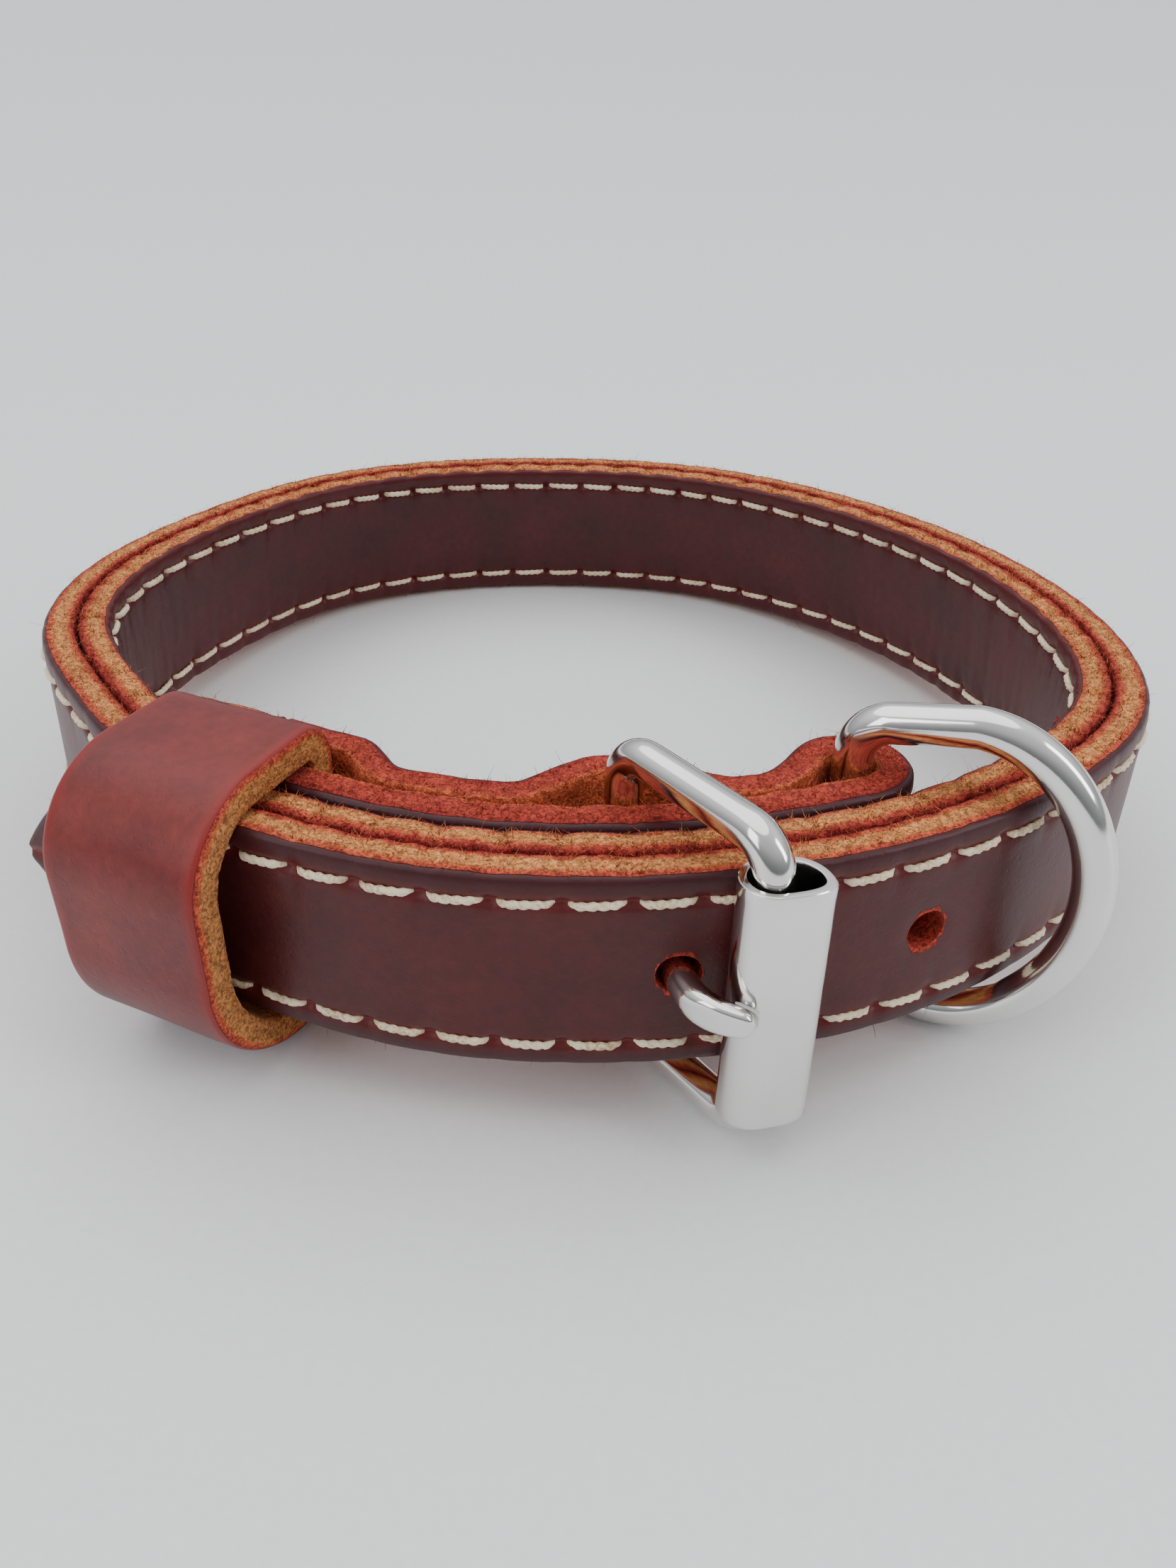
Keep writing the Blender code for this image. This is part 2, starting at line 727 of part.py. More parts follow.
def main():
    """Build the collar."""
    clear_scene()
    collar = bpy.data.collections.new("dog_collar")
    cutters = bpy.data.collections.new("cutters")
    bpy.context.scene.collection.children.link(collar)
    bpy.context.scene.collection.children.link(cutters)

    strap_outer = bpy.data.objects.new("strap_outer", outer_ply())
    strap_lining = bpy.data.objects.new("strap_lining", lining_ply())
    for i in range(HOLE_COUNT):
        station = HEEL_STATION + HOLE_AHEAD + i * HOLE_PITCH
        through = 2 * PLY + GAP + GAP / 2
        hole = cutter_cylinder(f"hole_cutter_{i + 1}", station, HOLE_DIAMETER, -PLY, through)
        move_to(hole, cutters)
        cut(strap_outer, hole)
        cut(strap_lining, hole)
    slot = slot_cutter()
    move_to(slot, cutters)
    cut(strap_outer, slot)

    swing = resting_swing()
    foot = max(floor_height(y) - z for ring in keeper_rings(0.0) for x, y, z in ring)
    keeper = bpy.data.objects.new("keeper", loft("keeper", keeper_rings(foot), closed=True))

    middle = STRAP_WIDTH / 2 - BUCKLE_SAG
    frame = wire("buckle_frame", buckle_outline(), BUCKLE_WIRE)
    frame.location = (HEEL_AXIS[0], HEEL_AXIS[1], middle)
    frame.rotation_euler.z = BUCKLE_HEADING

    tongue = bpy.data.objects.new("buckle_tongue", loft("buckle_tongue", tongue_rings()))
    tongue.location = (HEEL_AXIS[0], HEEL_AXIS[1], 0.0)

    roller = roller_tube()
    roller.location = (FRONT_AXIS[0], FRONT_AXIS[1], middle - ROLLER_SAG)
    roller.rotation_euler.z = heading(ROUTE_LINE.along(FRONT_STATION))
    roller = as_mesh(roller)
    notch = bpy.data.objects.new("notch_cutter", loft("notch_cutter", tongue_rings(NOTCH_GAP)))
    notch.location = tongue.location
    cutters.objects.link(notch)
    cut(roller, notch)

    d_ring = wire("d_ring", d_outline(), RING_WIRE)
    d_ring.location = (RING_AXIS[0], RING_AXIS[1], ring_middle(swing))
    d_ring.rotation_euler.z = swing

    leather = material("burgundy_leather", (0.075, 0.022, 0.022), 0.5)
    lining_leather = material("lining_leather", (0.06, 0.02, 0.022), 0.55)
    keeper_leather = material("red_leather", (0.16, 0.035, 0.035), 0.5)
    steel = material("polished_steel", (0.75, 0.74, 0.72), 0.12, 1.0)
    finishes = (
        (strap_outer, leather),
        (strap_lining, lining_leather),
        (keeper, keeper_leather),
        (frame, steel),
        (roller, steel),
        (tongue, steel),
        (d_ring, steel),
    )
    seat = bpy.data.objects.new("collar_seat", None)
    seat.rotation_euler.x = -TILT
    collar.objects.link(seat)
    for part, finish in finishes:
        part.data.materials.append(finish)
        move_to(part, collar)
        part.parent = seat
    for cutter in cutters.objects:
        cutter.parent = seat
        cutter.hide_render = True
        cutter.display_type = "WIRE"
    stand_on_floor(seat, [part for part, _ in finishes])


main()
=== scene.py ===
"""A buckled two-ply leather dog collar, standing on its lower edge on a pale floor."""

import logging
import math
from dataclasses import dataclass
from enum import Enum
from typing import Iterable, Sequence

import bpy
import numpy as np
from mathutils import Matrix, Vector, noise


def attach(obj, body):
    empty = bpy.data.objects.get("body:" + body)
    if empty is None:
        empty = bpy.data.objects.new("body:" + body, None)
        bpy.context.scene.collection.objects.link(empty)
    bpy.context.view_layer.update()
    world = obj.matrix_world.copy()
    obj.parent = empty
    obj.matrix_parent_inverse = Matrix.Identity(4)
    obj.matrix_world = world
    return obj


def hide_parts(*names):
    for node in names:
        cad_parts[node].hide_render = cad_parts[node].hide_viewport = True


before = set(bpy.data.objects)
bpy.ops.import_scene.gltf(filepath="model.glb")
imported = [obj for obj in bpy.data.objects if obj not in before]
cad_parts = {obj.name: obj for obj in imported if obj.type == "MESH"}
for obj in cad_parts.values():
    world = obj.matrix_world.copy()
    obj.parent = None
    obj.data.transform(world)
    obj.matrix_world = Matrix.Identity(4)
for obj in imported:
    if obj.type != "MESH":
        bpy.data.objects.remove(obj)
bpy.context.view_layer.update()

LOG = logging.getLogger("collar")
MM = 0.001
STRAP_BODY = "collar"
RING_BODY = "d_ring"

# The route of the strap's outer face in plan, from the tip round to the left end. The columns are shares of
# half the ring's width, to the right of the middle, and of its depth, back from the front.
ROUTE = (
    # right, back
    (-0.831, 0.150),
    (-0.562, 0.083),
    (-0.235, 0.014),
    (-0.029, 0.000),
    (0.174, 0.007),
    (0.463, 0.050),
    (0.779, 0.161),
    (0.935, 0.265),
    (1.000, 0.450),
    (0.915, 0.645),
    (0.590, 0.880),
    (0.270, 0.978),
    (-0.052, 1.000),
    (-0.366, 0.978),
    (-0.655, 0.900),
    (-0.880, 0.740),
    (-1.000, 0.528),
    (-0.960, 0.392),
    (-0.787, 0.243),
)


@dataclass(frozen=True)
class Sizes:
    """The sizes that the pieces share, in metres and radians, as the frame has them."""

    width: float = 22.2 * MM
    ply: float = 3.8 * MM
    gap: float = 0.3 * MM
    tip_length: float = 13.0 * MM
    tip_blunt: float = 1.2 * MM
    tip_arch: float = 0.9
    ring_width: float = 134.8 * MM
    ring_depth: float = 123.6 * MM
    back_lean: float = math.radians(11.0)
    lean_start: float = 0.16
    layer_ramp: float = 11.0 * MM
    keeper_ramp: float = 7.5 * MM
    keeper_station: float = 19.5 * MM
    keeper_width: float = 18.0 * MM
    keeper_thickness: float = 3.4 * MM
    heel_station: float = 66.0 * MM
    keeper_base: float = 423.229 * MM
    heel_base: float = 465.384 * MM
    ring_base: float = 491.7704 * MM
    front_station: float = 76.5717 * MM
    buckle_wire: float = 3.8 * MM
    ring_wire: float = 4.2 * MM
    tongue_wall: float = 1.2 * MM
    heel_axis: tuple[float, float] = (5.18368 * MM, 14.40425 * MM)
    front_axis: tuple[float, float] = (17.55973 * MM, -1.5605 * MM)
    ring_axis: tuple[float, float] = (28.3016 * MM, 20.67336 * MM)
    buckle_sag: float = 0.3 * MM
    tilt: float = math.radians(3.853232)
    seat: tuple[float, float, float] = (0.120621 * MM, -59.815627 * MM, 8.451025 * MM)

    @property
    def stack(self) -> float:
        """Both plies of the free end and the gaps that they keep."""
        return 2 * self.ply + 2 * self.gap


SIZES = Sizes()
SEAT = Matrix.Translation(SIZES.seat) @ Matrix.Rotation(-SIZES.tilt, 4, "X")
SEAT_TURN = np.array(SEAT.to_3x3())
SEAT_PLACE = np.array(SIZES.seat)


def seated(points: np.ndarray) -> np.ndarray:
    """Bring points from the collar's own frame onto the floor.

    Args:
        points: Places in the collar's frame, in the last axis.

    Returns:
        The same places as they stand.
    """
    return points @ SEAT_TURN.T + SEAT_PLACE


def smooth_step(value: np.ndarray, low: float, high: float) -> np.ndarray:
    """Rise smoothly from 0 at low to 1 at high.

    Args:
        value: Where to read the step.
        low: Where it starts.
        high: Where it ends.

    Returns:
        The step's height.
    """
    share = np.clip((np.asarray(value) - low) / (high - low), 0.0, 1.0)
    return share * share * (3 - 2 * share)


def mottle(first: np.ndarray, second: np.ndarray, scale: float, seed: float) -> np.ndarray:
    """Smooth noise over two measures.

    Args:
        first: The first measure.
        second: The second measure.
        scale: The size of the noise's lumps.
        seed: Which noise to take.

    Returns:
        Values from about -1 to 1.
    """
    first, second = np.broadcast_arrays(np.asarray(first) / scale, np.asarray(second) / scale)
    values = [noise.noise(Vector((a, b, seed))) for a, b in zip(first.ravel(), second.ravel())]
    return np.array(values).reshape(first.shape)


class Route:
    """A smooth line in plan that can be asked for its place and direction at any station."""

    def __init__(self, knots: Sequence[Sequence[float]]) -> None:
        """Draw a natural cubic through the knots and measure its length.

        Args:
            knots: The points that the line passes through.
        """
        points = np.asarray(knots)
        span = np.linalg.norm(np.diff(points, axis=0), axis=1)
        count = len(points)
        matrix = np.zeros((count, count))
        matrix[0, 0] = 1.0
        matrix[-1, -1] = 1.0
        side = np.zeros_like(points)
        for i in range(1, count - 1):
            matrix[i, i - 1:i + 2] = (span[i - 1], 2 * (span[i - 1] + span[i]), span[i])
            rise = (points[i + 1] - points[i]) / span[i] - (points[i] - points[i - 1]) / span[i - 1]
            side[i] = 6 * rise
        bend = np.linalg.solve(matrix, side)
        dense = []
        for i in range(count - 1):
            steps = max(2, int(span[i] / (0.25 * MM)))
            for t in np.arange(steps) / steps * span[i]:
                left = span[i] - t
                point = (bend[i] * left**3 + bend[i + 1] * t**3) / (6 * span[i])
                point = point + (points[i] / span[i] - bend[i] * span[i] / 6) * left
                dense.append(point + (points[i + 1] / span[i] - bend[i + 1] * span[i] / 6) * t)
        dense.append(points[-1])
        self.points = np.array(dense)
        steps = np.linalg.norm(np.diff(self.points, axis=0), axis=1)
        self.stations = np.concatenate([[0.0], np.cumsum(steps)])
        self.length = self.stations[-1]

    def spot(self, station: np.ndarray) -> np.ndarray:
        """The points of the line at some stations."""
        return np.stack([np.interp(station, self.stations, self.points[:, i]) for i in range(2)], axis=-1)

    def along(self, station: np.ndarray) -> np.ndarray:
        """The unit vectors along the line.

        Args:
            station: The stations.

        Returns:
            One vector for each.
        """
        reach = 0.4 * MM
        low = np.clip(np.asarray(station) - reach, 0.0, self.length)
        high = np.clip(np.asarray(station) + reach, 0.0, self.length)
        step = self.spot(high) - self.spot(low)
        return step / np.linalg.norm(step, axis=-1, keepdims=True)

    def inward(self, station: np.ndarray) -> np.ndarray:
        """The unit vectors from the line towards the neck at some stations."""
        along = self.along(station)
        return np.stack([-along[..., 1], along[..., 0]], axis=-1)

    def place(self, station: np.ndarray, depth: np.ndarray | float = 0.0) -> np.ndarray:
        """The points at some stations, moved towards the neck by depth."""
        return self.spot(station) + self.inward(station) * np.asarray(depth)[..., None]


def whole_route() -> Route:
    """The route of the strap's outer face, first turn and the stretch behind the free end."""
    knots = [(right * SIZES.ring_width / 2, back * SIZES.ring_depth) for right, back in ROUTE]
    first = Route(knots)
    start = SIZES.keeper_station - SIZES.keeper_width / 2 - 4.0 * MM
    stations = np.arange(start, 99.4 * MM, 4.0 * MM)
    return Route(knots + [tuple(point) for point in first.place(stations, SIZES.stack)])


LINE = whole_route()


def layer_gap(station: np.ndarray) -> np.ndarray:
    """The gap on the neck side of the outer ply: open where something lies between.

    Args:
        station: Stations on the route.

    Returns:
        The gap at each of them.
    """

    def opened(middle: float, flat: float, ramp: float = SIZES.layer_ramp) -> np.ndarray:
        """1 within flat of a place, falling smoothly to 0."""
        share = np.clip((np.abs(station - middle) - flat) / ramp, 0.0, 1.0)
        return 0.5 + 0.5 * np.cos(math.pi * share)

    gap = SIZES.gap
    reach = SIZES.keeper_width / 2 + gap
    keeper = (SIZES.keeper_thickness + gap) * opened(SIZES.keeper_base, reach, SIZES.keeper_ramp)
    heel_bar = SIZES.buckle_wire + SIZES.tongue_wall + 2 * gap
    heel = heel_bar * opened(SIZES.heel_base, SIZES.buckle_wire / 2)
    ring = (SIZES.ring_wire + gap) * opened(SIZES.ring_base, 0.0)
    return gap + np.maximum(np.maximum(keeper, heel), ring)


def lean(points: np.ndarray) -> np.ndarray:
    """How far the strap leans towards the neck for each metre of height.

    Args:
        points: Places in plan.

    Returns:
        The slope at each of them.
    """
    share = np.clip(points[..., 1] / SIZES.ring_depth, 0.0, 1.0)
    share = np.clip((share - SIZES.lean_start) / (1.0 - SIZES.lean_start), 0.0, 1.0)
    return math.tan(SIZES.back_lean) * share * share * (3 - 2 * share)


def half_width(station: np.ndarray) -> np.ndarray:
    """Half the strap's width: the tip is a pointed arch.

    Args:
        station: Stations from the tip.

    Returns:
        Half the width at each of them.
    """
    share = np.clip(np.asarray(station) / SIZES.tip_length, 0.0, 1.0)
    full = SIZES.width / 2
    return SIZES.tip_blunt + (full - SIZES.tip_blunt) * np.sin(math.pi / 2 * share) ** SIZES.tip_arch


class Ply:
    """The middle line of one layer of leather, from its tip to its far end."""

    def __init__(self, marks: np.ndarray, points: np.ndarray) -> None:
        """Take the line's points with the mark that each is known by.

        Args:
            marks: Rising numbers, the stations along the strap.
            points: The places in plan.
        """
        step = np.gradient(points, axis=0)
        step = step / np.linalg.norm(step, axis=1)[:, None]
        self.marks = marks
        self.points = points
        self.normals = np.stack([-step[:, 1], step[:, 0]], axis=1)

    def lay(self, mark: np.ndarray, height: np.ndarray, depth: np.ndarray) -> np.ndarray:
        """Places on or in the ply, as they stand on the floor.

        Args:
            mark: Stations along the ply.
            height: Heights over the strap's middle.
            depth: Depths under the face that lies to the right of the line.

        Returns:
            One place for each.
        """
        mark, height, depth = np.broadcast_arrays(mark, height, depth)
        spot = np.stack([np.interp(mark, self.marks, self.points[:, i]) for i in range(2)], axis=-1)
        normal = np.stack([np.interp(mark, self.marks, self.normals[:, i]) for i in range(2)], axis=-1)
        normal = normal / np.linalg.norm(normal, axis=-1, keepdims=True)
        plan = spot + normal * (depth - SIZES.ply / 2 + height * lean(spot))[..., None]
        return seated(np.concatenate([plan, (SIZES.width / 2 + height)[..., None]], axis=-1))


def outer_line() -> Ply:
    """The outer ply's line: the whole route, the fold round the D-ring's bar and the turn-back."""
    fine = 0.25 * MM
    stations = np.arange(0.0, SIZES.ring_base, fine)
    first = LINE.place(stations, SIZES.ply / 2)
    radius = SIZES.ring_wire / 2 + SIZES.gap + SIZES.ply / 2
    centre = LINE.place(SIZES.ring_base, SIZES.ply + SIZES.gap + SIZES.ring_wire / 2)
    out = -LINE.inward(SIZES.ring_base)
    along = LINE.along(SIZES.ring_base)
    angle = np.arange(0.0, math.pi, fine / radius)[:, None]
    fold = centre + radius * (out * np.cos(angle) + along * np.sin(angle))
    back = np.arange(SIZES.ring_base, SIZES.keeper_base + SIZES.gap, -fine)
    turned = LINE.place(back, 1.5 * SIZES.ply + layer_gap(back))
    points = np.concatenate([first, fold, turned])
    after = np.linalg.norm(np.diff(points[len(first) - 1:], axis=0), axis=1)
    return Ply(np.concatenate([stations, stations[-1] + np.cumsum(after)]), points)


def lining_line() -> Ply:
    """The lining's line: from the tip to the turn-back's end under the keeper."""
    stations = np.arange(0.0, SIZES.keeper_base - SIZES.gap, 0.25 * MM)
    return Ply(stations, LINE.place(stations, 1.5 * SIZES.ply + layer_gap(stations)))


OUTER = outer_line()
LINING = lining_line()


def deselect() -> None:
    """Leave nothing selected."""
    if bpy.context.object and bpy.context.object.mode != "OBJECT":
        bpy.ops.object.mode_set(mode="OBJECT")
    bpy.ops.object.select_all(action="DESELECT")


def choose(piece: bpy.types.Object) -> None:
    """Select one piece and make it the active one."""
    deselect()
    piece.select_set(True)
    bpy.context.view_layer.objects.active = piece


def give(piece: bpy.types.Object, name: str, values: np.ndarray) -> None:
    """Store one number for each of a piece's points, for its material to read.

    Args:
        piece: The piece.
        name: The attribute's name.
        values: The numbers, in the order of the points.
    """
    made = piece.data.attributes.get(name) or piece.data.attributes.new(name, "FLOAT", "POINT")
    made.data.foreach_set("value", np.asarray(values, dtype=np.float32).ravel())


def skin(
    name: str,
    places: np.ndarray,
    traits: dict[str, np.ndarray],
    ring: bool = True,
    loop: bool = False,
) -> bpy.types.Object:
    """A grid of quads laid over a table of places, closed and merged where it meets itself.

    Args:
        name: The piece's name.
        places: Places by row along the piece and by column round it.
        traits: Numbers for the material, one table for each name.
        ring: Whether the columns close on themselves.
        loop: Whether the rows close on themselves.

    Returns:
        The piece.
    """
    if ring:
        places = np.concatenate([places, places[:, :1]], axis=1)
        traits = {key: np.concatenate([value, value[:, :1]], axis=1) for key, value in traits.items()}
    if loop:
        places = np.concatenate([places, places[:1]], axis=0)
        traits = {key: np.concatenate([value, value[:1]], axis=0) for key, value in traits.items()}
    rows, columns = places.shape[:2]
    deselect()
    bpy.ops.mesh.primitive_grid_add(x_subdivisions=rows - 1, y_subdivisions=columns - 1, size=1.0)
    piece = bpy.context.object
    piece.name = name
    piece.data.name = name
    flat = np.empty(len(piece.data.vertices) * 3)
    piece.data.vertices.foreach_get("co", flat)
    flat = flat.reshape(-1, 3)
    row = np.rint((flat[:, 0] + 0.5) * (rows - 1)).astype(int)
    column = np.rint((flat[:, 1] + 0.5) * (columns - 1)).astype(int)
    piece.data.vertices.foreach_set("co", places[row, column].ravel())
    for key, value in traits.items():
        give(piece, key, value[row, column])
    piece.data.update()
    bpy.ops.object.mode_set(mode="EDIT")
    bpy.ops.mesh.select_all(action="SELECT")
    bpy.ops.mesh.remove_doubles(threshold=0.002 * MM)
    if not loop:
        bpy.ops.mesh.select_all(action="DESELECT")
        bpy.ops.mesh.select_mode(type="EDGE")
        bpy.ops.mesh.select_non_manifold(extend=False)
        bpy.ops.mesh.fill_holes(sides=0)
    bpy.ops.mesh.select_all(action="SELECT")
    bpy.ops.mesh.normals_make_consistent(inside=False)
    bpy.ops.object.mode_set(mode="OBJECT")
    bpy.ops.object.shade_smooth_by_angle(angle=math.radians(50.0))
    return piece


def strew(
    name: str,
    shape: Sequence[Sequence[int]],
    places: np.ndarray,
    traits: dict[str, np.ndarray],
) -> bpy.types.Object:
    """Many small copies of one shape, as one piece with a mesh of its own.

    Args:
        name: The piece's name.
        shape: The faces of one copy.
        places: Places by copy and by point of the shape.
        traits: Numbers for the material, by copy and point.

    Returns:
        The piece.
    """
    copies, points = places.shape[:2]
    faces = [tuple(np.array(face) + i * points) for i in range(copies) for face in shape]
    mesh = bpy.data.meshes.new(name)
    mesh.from_pydata(places.reshape(-1, 3), [], faces)
    piece = bpy.data.objects.new(name, mesh)
    bpy.context.scene.collection.objects.link(piece)
    for key, value in traits.items():
        give(piece, key, value)
    choose(piece)
    bpy.ops.object.shade_smooth()
    return piece


def tube_faces(rings: int, sides: int) -> list[tuple[int, ...]]:
    """The faces of a capped tube whose points go round ring by ring."""
    faces = []
    for i in range(rings - 1):
        for j in range(sides):
            k = (j + 1) % sides
            faces.append((i * sides + j, i * sides + k, (i + 1) * sides + k, (i + 1) * sides + j))
    faces.append(tuple(range(sides))[::-1])
    faces.append(tuple((rings - 1) * sides + j for j in range(sides)))
    return faces


class Face(Enum):
    """The faces of a ply that carry a row of stitches."""

    OUTSIDE = "outside"
    NECK = "neck"


@dataclass
class Strap:
    """Both sewn plies of the strap, their stitches and their raw fibres."""

    step: float = 0.6 * MM
    row_inset: float = 2.8 * MM
    vee_start: float = 5.0 * MM
    pitch: float = 6.35 * MM
    stitch_length: float = 5.2 * MM
    stitch_rings: int = 19
    stitch_sides: int = 9
    thread: float = 0.41 * MM
    rim: float = 0.85 * MM
    flesh_rim: float = 0.2 * MM
    hole_diameter: float = 4.4 * MM
    hole_first: float = 70.0 * MM
    hole_pitch: float = 25.4 * MM
    hole_count: int = 4
    hole_sides: int = 40
    outer_fibres: int = 12500
    lining_fibres: int = 9500
    last_outer: float = 413.0 * MM
    near_row: tuple[float, ...] = (1.15, 1.5, 1.85, 2.15, 2.4, 2.6, 2.8, 3.0, 3.2, 3.45, 3.8)
    across: tuple[float, ...] = (0.86, 0.64, 0.42, 0.2, 0.0, -0.2, -0.42, -0.64, -0.86)

    def profile(self) -> list[tuple[float, float, float]]:
        """The points round a ply: depth under the grain, share of the width, inset from the edge."""
        top = [(0.0, 1.0, inset * MM) for inset in self.near_row[::-1]]
        for i in range(1, 5):
            angle = math.pi / 2 * i / 4
            top.append((self.rim * (1 - math.cos(angle)), 1.0, self.rim * (1 - math.sin(angle))))
        edge = np.linspace(self.rim, SIZES.ply - self.flesh_rim, 9)[1:]
        top += [(depth, 1.0, 0.0) for depth in edge]
        flesh = [(SIZES.ply, 1.0, inset * MM) for inset in (0.2, 1.4, 3.8)]
        top += flesh
        flesh_middle = [(SIZES.ply, share, 3.8 * MM) for share in (0.5, 0.0, -0.5)]
        bottom = [(depth, -share, inset) for depth, share, inset in top[::-1]]
        grain_middle = [(0.0, share, 3.8 * MM) for share in self.across[::-1]]
        return top + flesh_middle + bottom + grain_middle

    def row_offset(self, mark: np.ndarray) -> np.ndarray:
        """How far a row of stitches runs from the strap's middle line.

        Args:
            mark: Stations.

        Returns:
            The row's distance at each of them.
        """
        share = np.clip((np.asarray(mark) - self.vee_start) / SIZES.tip_length, 0.0, 1.0)
        return (SIZES.width / 2 - self.row_inset) * np.sin(math.pi / 2 * share) ** SIZES.tip_arch

    def row_marks(self, first: float, last: float) -> list[float]:
        """The stations where the thread goes down, a pitch apart along the row.

        Args:
            first: The station where the row starts.
            last: The station where it ends.

        Returns:
            The stations.
        """
        fine = np.arange(first, last, 0.1 * MM)
        rise = np.gradient(self.row_offset(fine), fine)
        length = np.concatenate([[0.0], np.cumsum(np.hypot(1.0, rise)[:-1] * 0.1 * MM)])
        return list(np.interp(np.arange(0.0, length[-1], self.pitch), length, fine))

    def relief(self, mark: np.ndarray, height: np.ndarray, downs: np.ndarray, creased: float) -> np.ndarray:
        """How far the grain face is pressed in.

        Args:
            mark: Stations.
            height: Heights over the middle.
            downs: The stations where the thread goes down.
            creased: How strongly the face is creased by the bend, 0 or more.

        Returns:
            The depth of the grain face under its flat place.
        """
        from_row = (np.abs(height) - self.row_offset(mark)) / MM
        sunk = 0.24 * np.exp(-(from_row / 0.42) ** 2)
        to_down = np.min(np.abs(mark[..., None] - downs), axis=-1) / MM
        pit = np.exp(-(to_down / 0.75) ** 2)
        sunk = sunk + 0.42 * pit * np.exp(-(from_row / 0.62) ** 2)
        sunk = sunk + (0.16 + 0.3 * creased) * pit * np.exp(-(from_row / 2.2) ** 2)
        sunk = sunk - 0.07 * np.exp(-((np.abs(from_row) - 1.1) / 0.5) ** 2)
        if creased:
            folds = mottle(mark, height * 0.12, 2.6 * MM, 3.1)
            fine = mottle(mark, height * 0.2, 1.1 * MM, 9.4)
            left_end = np.exp(-((mark - 372 * MM) / (42 * MM)) ** 2)
            right_end = 0.7 * np.exp(-((mark - 170 * MM) / (40 * MM)) ** 2)
            where = 0.25 + 1.5 * left_end + right_end
            sunk = sunk + creased * where * (0.24 * np.abs(folds) + 0.1 * fine)
        sunk = sunk + 0.1 * mottle(mark, height, 14.0 * MM, 5.5)
        for i in range(self.hole_count):
            away = np.hypot(mark - self.hole_first - i * self.hole_pitch, height) / MM
            sunk = sunk + 0.22 * np.exp(-((away - 1.9) / 0.8) ** 2)
        return sunk * MM

    def shell(self, name: str, ply: Ply, face: Face) -> bpy.types.Object:
        """One ply's solid leather, with its edges, grooves, puckers and creases.

        Args:
            name: The piece's name.
            ply: The line it follows.
            face: Which side its grain is on.

        Returns:
            The piece, without its holes.
        """
        seed = 0.0 if face is Face.OUTSIDE else 20.0
        creased = 0.0 if face is Face.OUTSIDE else 1.0
        near_tip = SIZES.tip_length * np.linspace(0.0, 1.0, 34) ** 1.4
        count = int((ply.marks[-1] - SIZES.tip_length) / self.step)
        marks = np.concatenate([near_tip[:-1], np.linspace(SIZES.tip_length, ply.marks[-1], count)])
        profile = np.array(self.profile())
        mark = marks[:, None] * np.ones(len(profile))
        depth = profile[:, 0] * np.ones_like(mark)
        share = profile[:, 1] * np.ones_like(mark)
        inset = profile[:, 2] * np.ones_like(mark)
        half = half_width(mark)
        side = np.sign(share)
        height = share * np.maximum(half - inset, 0.0)
        # The raw edges are rough, and each stitch pulls them in a little.
        raw = smooth_step(depth, 0.3 * self.rim, 1.1 * self.rim)
        edge = np.where(np.abs(share) == 1.0, smooth_step(-inset, -0.5 * MM, 0.0), 0.0)
        rough = 0.17 * mottle(mark, depth * 1.4, 0.9 * MM, seed + 1.7)
        rough = rough + 0.13 * mottle(mark, depth, 2.7 * MM, seed + 6.1)
        rough = rough + 0.12 * mottle(mark, depth * 0.3, 8.0 * MM, seed + 8.8)
        downs = np.array(self.row_marks(self.vee_start, ply.marks[-1]))
        to_down = np.min(np.abs(mark[..., None] - downs), axis=-1) / MM
        pulled = (0.1 + 0.16 * creased) * np.exp(-(to_down / 1.1) ** 2)
        bulge = 0.14 * np.sin(math.pi * np.clip((depth - self.rim) / (SIZES.ply - self.rim), 0.0, 1.0))
        height = height + side * edge * (raw * rough - pulled + bulge) * MM
        grain = smooth_step(-depth, -1.1 * self.rim, 0.0)
        sunk = self.relief(mark, height, downs, creased) * grain
        flesh = smooth_step(depth, SIZES.ply - 0.6 * MM, SIZES.ply)
        inside = depth + sunk
        inside = inside - flesh * 0.05 * MM * (1 + mottle(mark, height, 1.2 * MM, seed + 4.0))
        if face is Face.NECK:
            inside = SIZES.ply - inside
        places = ply.lay(mark, height, inside)
        base = smooth_step(mark, SIZES.keeper_base - 14 * MM, SIZES.keeper_base - 2 * MM)
        traits = {
            "skin": 1.0 - raw * np.maximum(edge, flesh),
            "band": depth / SIZES.ply,
            "reddened": base * (1.0 if face is Face.OUTSIDE else 0.4),
            # Painted sheen: the grain along the rounded edges takes the rim colour.
            "rim": smooth_step(-inset, -2.2 * MM, -0.6 * MM) * (np.abs(share) == 1.0) * (1.0 - raw),
            "groove": np.exp(-((np.abs(height) - self.row_offset(mark)) / (0.62 * MM)) ** 2) * grain,
            "station": mark,
        }
        return skin(name, places, traits)

    def punch(self, piece: bpy.types.Object) -> None:
        """Punch the row of holes through a ply.

        Args:
            piece: The ply's shell.
        """
        deselect()
        cutters = []
        for i in range(self.hole_count):
            mark = self.hole_first + i * self.hole_pitch
            centre = seated(np.array([*LINE.place(mark, SIZES.ply), SIZES.width / 2]))
            inward = LINE.inward(mark)
            radius = self.hole_diameter / 2
            bpy.ops.mesh.primitive_cylinder_add(vertices=self.hole_sides, radius=radius, depth=5 * SIZES.ply)
            made = bpy.context.object
            heading = Matrix.Rotation(math.atan2(inward[1], inward[0]), 4, "Z")
            turn = Matrix.Rotation(-SIZES.tilt, 4, "X") @ heading @ Matrix.Rotation(math.pi / 2, 4, "Y")
            made.matrix_world = Matrix.Translation(centre) @ turn
            cutters.append(made)
        deselect()
        for cutter in cutters:
            cutter.select_set(True)
        bpy.context.view_layer.objects.active = cutters[0]
        bpy.ops.object.join()
        cut_out(piece, bpy.context.object)

